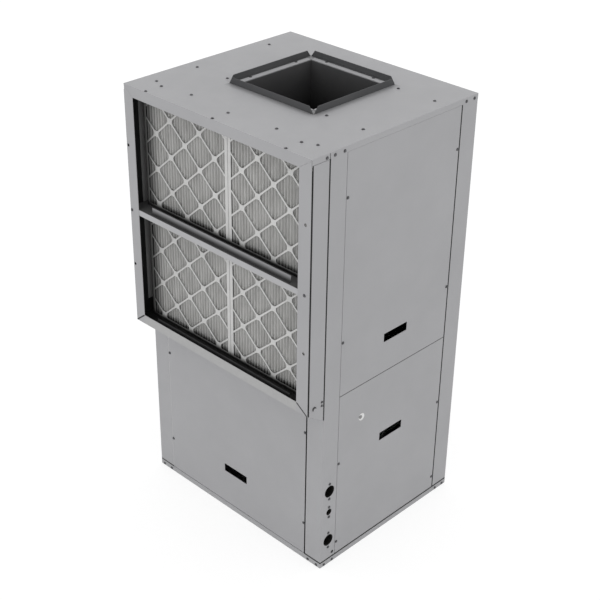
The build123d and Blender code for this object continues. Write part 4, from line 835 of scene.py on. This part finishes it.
def hex_head(bm, place, out, radius, height):
    rim = height * 0.28
    turned(bm, [(radius * 0.97, 0), (radius, rim * 0.5), (radius * 0.9, rim)], 20, place, out)
    flat = radius * 0.74
    top = height - rim
    seat = Vector(place) + Vector(out) * (rim * 0.9)
    profile = [(flat, 0), (flat, top * 0.82), (flat * 0.9, top), (flat * 0.55, top)]
    profile += [(flat * 0.5, top * 0.8)]
    turned(bm, profile, 6, seat, out, random.random())


def thread(bm, place, out, radius, length):
    ridges = max(4, int(length / 0.0016))
    profile = [(radius, 0)]
    for i in range(ridges):
        start = length * (i + 0.1) / ridges
        profile.append((radius * 0.78, -start))
        profile.append((radius, -start - length * 0.45 / ridges))
    profile.append((radius * 0.3, -length))
    turned(bm, list(reversed(profile)), 10, place, out)


def screws(name, node, shank):
    """The screws of a node. Heads point up on the top, and elsewhere away from the cabinet's middle."""
    bm = bmesh.new()
    for low, high in islands(node):
        size = high - low
        centre = (low + high) / 2
        lengths = list(size)
        axis = lengths.index(max(lengths)) if shank else lengths.index(min(lengths))
        sign = 1.0 if axis == 2 else math.copysign(1.0, centre[axis] - MIDDLE[axis])
        out = Vector((0, 0, 0))
        out[axis] = sign
        across = max(lengths[i] for i in range(3) if i != axis)
        tip = Vector(centre)
        tip[axis] = high[axis] if sign > 0 else low[axis]
        seat = tip - out * HEAD_HEIGHT
        hex_head(bm, seat, out, across / 2, HEAD_HEIGHT)
        if shank:
            thread(bm, seat, out, across / 2 * 0.48, lengths[axis] - HEAD_HEIGHT)
    return from_bm(name, bm, materials["screw_steel"], node)


def door_fasteners():
    """The round latch head of the door, and the two screws at the door's corner."""
    knob, heads = bmesh.new(), bmesh.new()
    out = Vector((0, -1, 0))
    for low, high in islands("filter_door_screw"):
        reach = (high.x - low.x) / 2
        height = high.y - low.y
        seat = Vector(((low.x + high.x) / 2, high.y, (low.z + high.z) / 2))
        if reach < LARGEST_HEX:
            hex_head(heads, seat, out, reach, height)
            continue
        profile = [(reach, 0), (reach, height * 0.72), (reach * 0.93, height), (reach * 0.5, height)]
        turned(knob, profile + [(reach * 0.46, height * 0.84)], 40, seat, out)
    from_bm("door_knob", knob, special["filter_door_screw"], "filter_door_screw")
    from_bm("door_corner_screws", heads, materials["screw_steel"], "filter_door_screw")


door_fasteners()
screws("cabinet_screw_heads", "cabinet_screws", False)
screws("upper_panel_screw_set", "upper_panel_screws", True)
screws("lower_panel_screw_set", "lower_panel_screws", True)
screws("left_panel_screw_set", "left_panel_screws", True)


# Filters


def rounded_triangle(u):
    """A triangle wave with rounded tips, from 0 to 1 and back as u goes from 0 to 1."""
    return math.acos(0.965 * math.cos(2 * math.pi * u)) / math.pi


def pleats(name, node):
    low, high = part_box(node)
    inset = FILTER_BOARD + 0.0004
    near = low.y + inset
    run = high.y - low.y - 2 * inset
    folds = round(run / PLEAT_PITCH)
    steps = 10
    front = low.x + 0.0022
    depth = high.x - low.x - 0.0042
    rows = 12
    points = []
    for j in range(rows + 1):
        z = low.z + inset + (high.z - low.z - 2 * inset) * j / rows
        for i in range(folds * steps + 1):
            u = i / steps
            wander = field.noise(Vector((u * 0.31, z * 9.0, low.y * 7 + low.z * 3))) * 0.0011
            ease = min(1.0, i / steps, (folds * steps - i) / steps)
            y = near + run * i / (folds * steps) + wander * ease
            reach = 1.0 - 0.1 * abs(field.noise(Vector((math.floor(u) * 1.7, z * 4.0, low.z))))
            x = front + depth * (1 - reach * rounded_triangle(u + 0.5))
            points.append((x, y, z))
    across = folds * steps + 1
    faces = []
    for j in range(rows):
        for i in range(across - 1):
            a = j * across + i
            faces.append((a, a + 1, a + across + 1, a + across))
    piece = made(name, points, faces, cloth, node, smooth=True)
    skin = piece.modifiers.new("thickness", "SOLIDIFY")
    skin.thickness = 0.0009
    skin.offset = 0.0
    return piece


def board_tray(name, node):
    low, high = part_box(node)
    depth = high.x - low.x
    board = 0.0009
    profile = [
        (FILTER_BORDER, 0.0), (0.0008, 0.0), (0.0003, 0.0003), (0.0, 0.0009), (0.0, depth),
        (board, depth), (board, board), (FILTER_BORDER, board),
    ]
    middle = (low + high) / 2
    half_y = (high.y - low.y) / 2
    half_z = (high.z - low.z) / 2
    points = []
    for sy, sz in ((-1, -1), (1, -1), (1, 1), (-1, 1)):
        for inset, x in profile:
            points.append((low.x + x, middle.y + sy * (half_y - inset), middle.z + sz * (half_z - inset)))
    count = len(profile)
    faces = []
    for corner in range(4):
        after = (corner + 1) % 4
        for i in range(count):
            j = (i + 1) % count
            faces.append((corner * count + i, corner * count + j, after * count + j, after * count + i))
    bm = bmesh.new()
    verts = [bm.verts.new(p) for p in points]
    for face in faces:
        bm.faces.new([verts[i] for i in face])
    return from_bm(name, bm, materials["filter_board"], node)


def diamond_point(t, half_y, half_z):
    """A point round a diamond, for t from 0 to 4."""
    corners = [(half_y, 0), (0, half_z), (-half_y, 0), (0, -half_z)]
    k = int(t) % 4
    s = t - int(t)
    a, b = corners[k], corners[(k + 1) % 4]
    return (a[0] + (b[0] - a[0]) * s, a[1] + (b[1] - a[1]) * s)


def lattice(name, node):
    """Die-cut diamonds: each hole is a diamond with well rounded corners."""
    low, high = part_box(node)
    mid_y = (low.y + high.y) / 2
    mid_z = low.z + LATTICE_RISE
    per_edge = 12
    samples = 4 * per_edge
    half_y, half_z = PITCH_Y / 2, PITCH_Z / 2
    bm = bmesh.new()
    for row in range(-5, 6):
        for column in range(-4, 5):
            if (row + column) % 2:
                continue
            y0 = mid_y + column * half_y
            z0 = mid_z + row * half_z
            outer, inner = [], []
            for i in range(samples):
                t = 4 * i / samples
                oy, oz = diamond_point(t, half_y, half_z)
                outer.append(bm.verts.new((0, y0 + oy, z0 + oz)))
                inner.append(bm.verts.new((0, *hole_point(t, y0, z0, half_y, half_z))))
            for i in range(samples):
                j = (i + 1) % samples
                bm.faces.new((outer[i], outer[j], inner[j], inner[i]))
    bmesh.ops.remove_doubles(bm, verts=bm.verts, dist=1e-6)
    lap = FILTER_BORDER - 0.001
    planes = [
        ((0, low.y + lap, 0), (0, -1, 0)), ((0, high.y - lap, 0), (0, 1, 0)),
        ((0, 0, low.z + lap), (0, 0, -1)), ((0, 0, high.z - lap), (0, 0, 1)),
    ]
    for place, out in planes:
        everything = bm.verts[:] + bm.edges[:] + bm.faces[:]
        bmesh.ops.bisect_plane(bm, geom=everything, plane_co=place, plane_no=out, clear_outer=True)
    bmesh.ops.recalc_face_normals(bm, faces=bm.faces)
    solid = bmesh.ops.extrude_face_region(bm, geom=bm.faces[:])
    lifted = [g for g in solid["geom"] if isinstance(g, bmesh.types.BMVert)]
    bmesh.ops.translate(bm, verts=lifted, vec=(-0.0009, 0, 0))
    bmesh.ops.translate(bm, verts=bm.verts[:], vec=(low.x + 0.0013, 0, 0))
    piece = from_bm(name, bm, materials["filter_board"], node)
    bevel(piece, 0.00025, 1, 40)
    return piece


def hole_point(t, y0, z0, half_y, half_z):
    """A point of a hole's outline: a diamond pulled in by half a strand, with round corners."""
    oy, oz = diamond_point(t, half_y, half_z)
    slope = math.hypot(half_y, half_z)
    share = 1 - (STRAND / 2) * slope / (half_y * half_z)
    y, z = oy * share, oz * share
    s = t - int(t)
    near_corner = min(s, 1 - s)
    # Corners are eased towards the middle over the last part of each edge
    ease = max(0.0, 1 - near_corner / 0.17)
    pull = 1 - 0.105 * ease * ease
    return (y0 + y * pull, z0 + z * pull)


for bay in ("upper", "lower"):
    for side in ("near", "far"):
        cad_name = f"filter_{bay}_{side}"
        pleats(f"{cad_name}_pleats", cad_name)
        board_tray(f"{cad_name}_board", cad_name)
        lattice(f"{cad_name}_lattice", cad_name)


# Plug in the spare hole: a domed cap with a turned rim


def plug():
    low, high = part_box("hole_plug")
    centre = (low + high) / 2
    rise = 0.0024
    seat = Vector((centre.x, low.y + rise, centre.z))
    radius = (high.x - low.x) / 2
    bm = bmesh.new()
    profile = [(radius * 0.6, -(high.y - low.y) + rise + 0.0002), (radius * 0.78, -0.002)]
    profile += [(radius * 0.78, 0.0), (radius * 0.985, 0.0), (radius, 0.0003), (radius * 0.99, 0.0008)]
    profile += [(radius * 0.93, 0.0011), (radius * 0.86, 0.0010), (radius * 0.80, 0.0011)]
    for i in range(1, 8):
        angle = math.pi / 2 * i / 8
        profile.append((radius * 0.8 * math.cos(angle), 0.0011 + 0.0012 * math.sin(angle)))
    turned(bm, profile, 32, seat, (0, -1, 0))
    return from_bm("hole_plug_cap", bm, plug_paint("plug_painted_highlight_shade"), "hole_plug", True)


plug()


# Air coil fins: thin plates with a rippled edge


def fins():
    low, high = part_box("air_coil_fins")
    pitch = 0.0022
    count = int((high.y - low.y) / pitch)
    bm = bmesh.new()
    for i in range(count):
        y = low.y + pitch * (i + 0.3) + random.uniform(-1, 1) * 0.00012
        thick = 0.0003
        xs = [low.x, low.x + 0.011, low.x + 0.022, low.x + 0.033, high.x]
        sway = [0, 0.0004, -0.0004, 0.0004, 0]
        front, rear = [], []
        for z in (low.z, high.z):
            for x, s in zip(xs, sway):
                front.append(bm.verts.new((x, y + s, z)))
                rear.append(bm.verts.new((x, y + s + thick, z)))
        n = len(xs)
        for k in range(n - 1):
            bm.faces.new((front[k], front[k + 1], front[n + k + 1], front[n + k]))
            bm.faces.new((rear[k], rear[n + k], rear[n + k + 1], rear[k + 1]))
            bm.faces.new((front[k], rear[k], rear[k + 1], front[k + 1]))
            bm.faces.new((front[n + k], front[n + k + 1], rear[n + k + 1], rear[n + k]))
        bm.faces.new((front[0], front[n], rear[n], rear[0]))
        bm.faces.new((front[n - 1], rear[n - 1], rear[2 * n - 1], front[2 * n - 1]))
    return from_bm("air_coil_fin_stack", bm, materials["fin_aluminium"], "air_coil_fins")


fins()


# Finishes of the CAD nodes, and small bevels along their folded edges
for node, piece in nodes.items():
    for slot in piece.material_slots:
        key = slot.material.name.split(".")[0]
        slot.material = special.get(node, materials[key])

sheet_nodes = [
    "base_pan", "post_front_left", "post_front_right", "post_back_left", "post_back_right",
    "upper_front_panel", "lower_front_panel", "lower_left_panel", "right_side_panel", "back_panel",
    "top_panel", "duct_flanges", "filter_rack_frame", "filter_rack_mid_rail", "filter_rack_shelf",
    "filter_retaining_strips", "filter_rack_door",
]
for node in sheet_nodes:
    bevel(nodes[node], 0.0004, 2, 25)
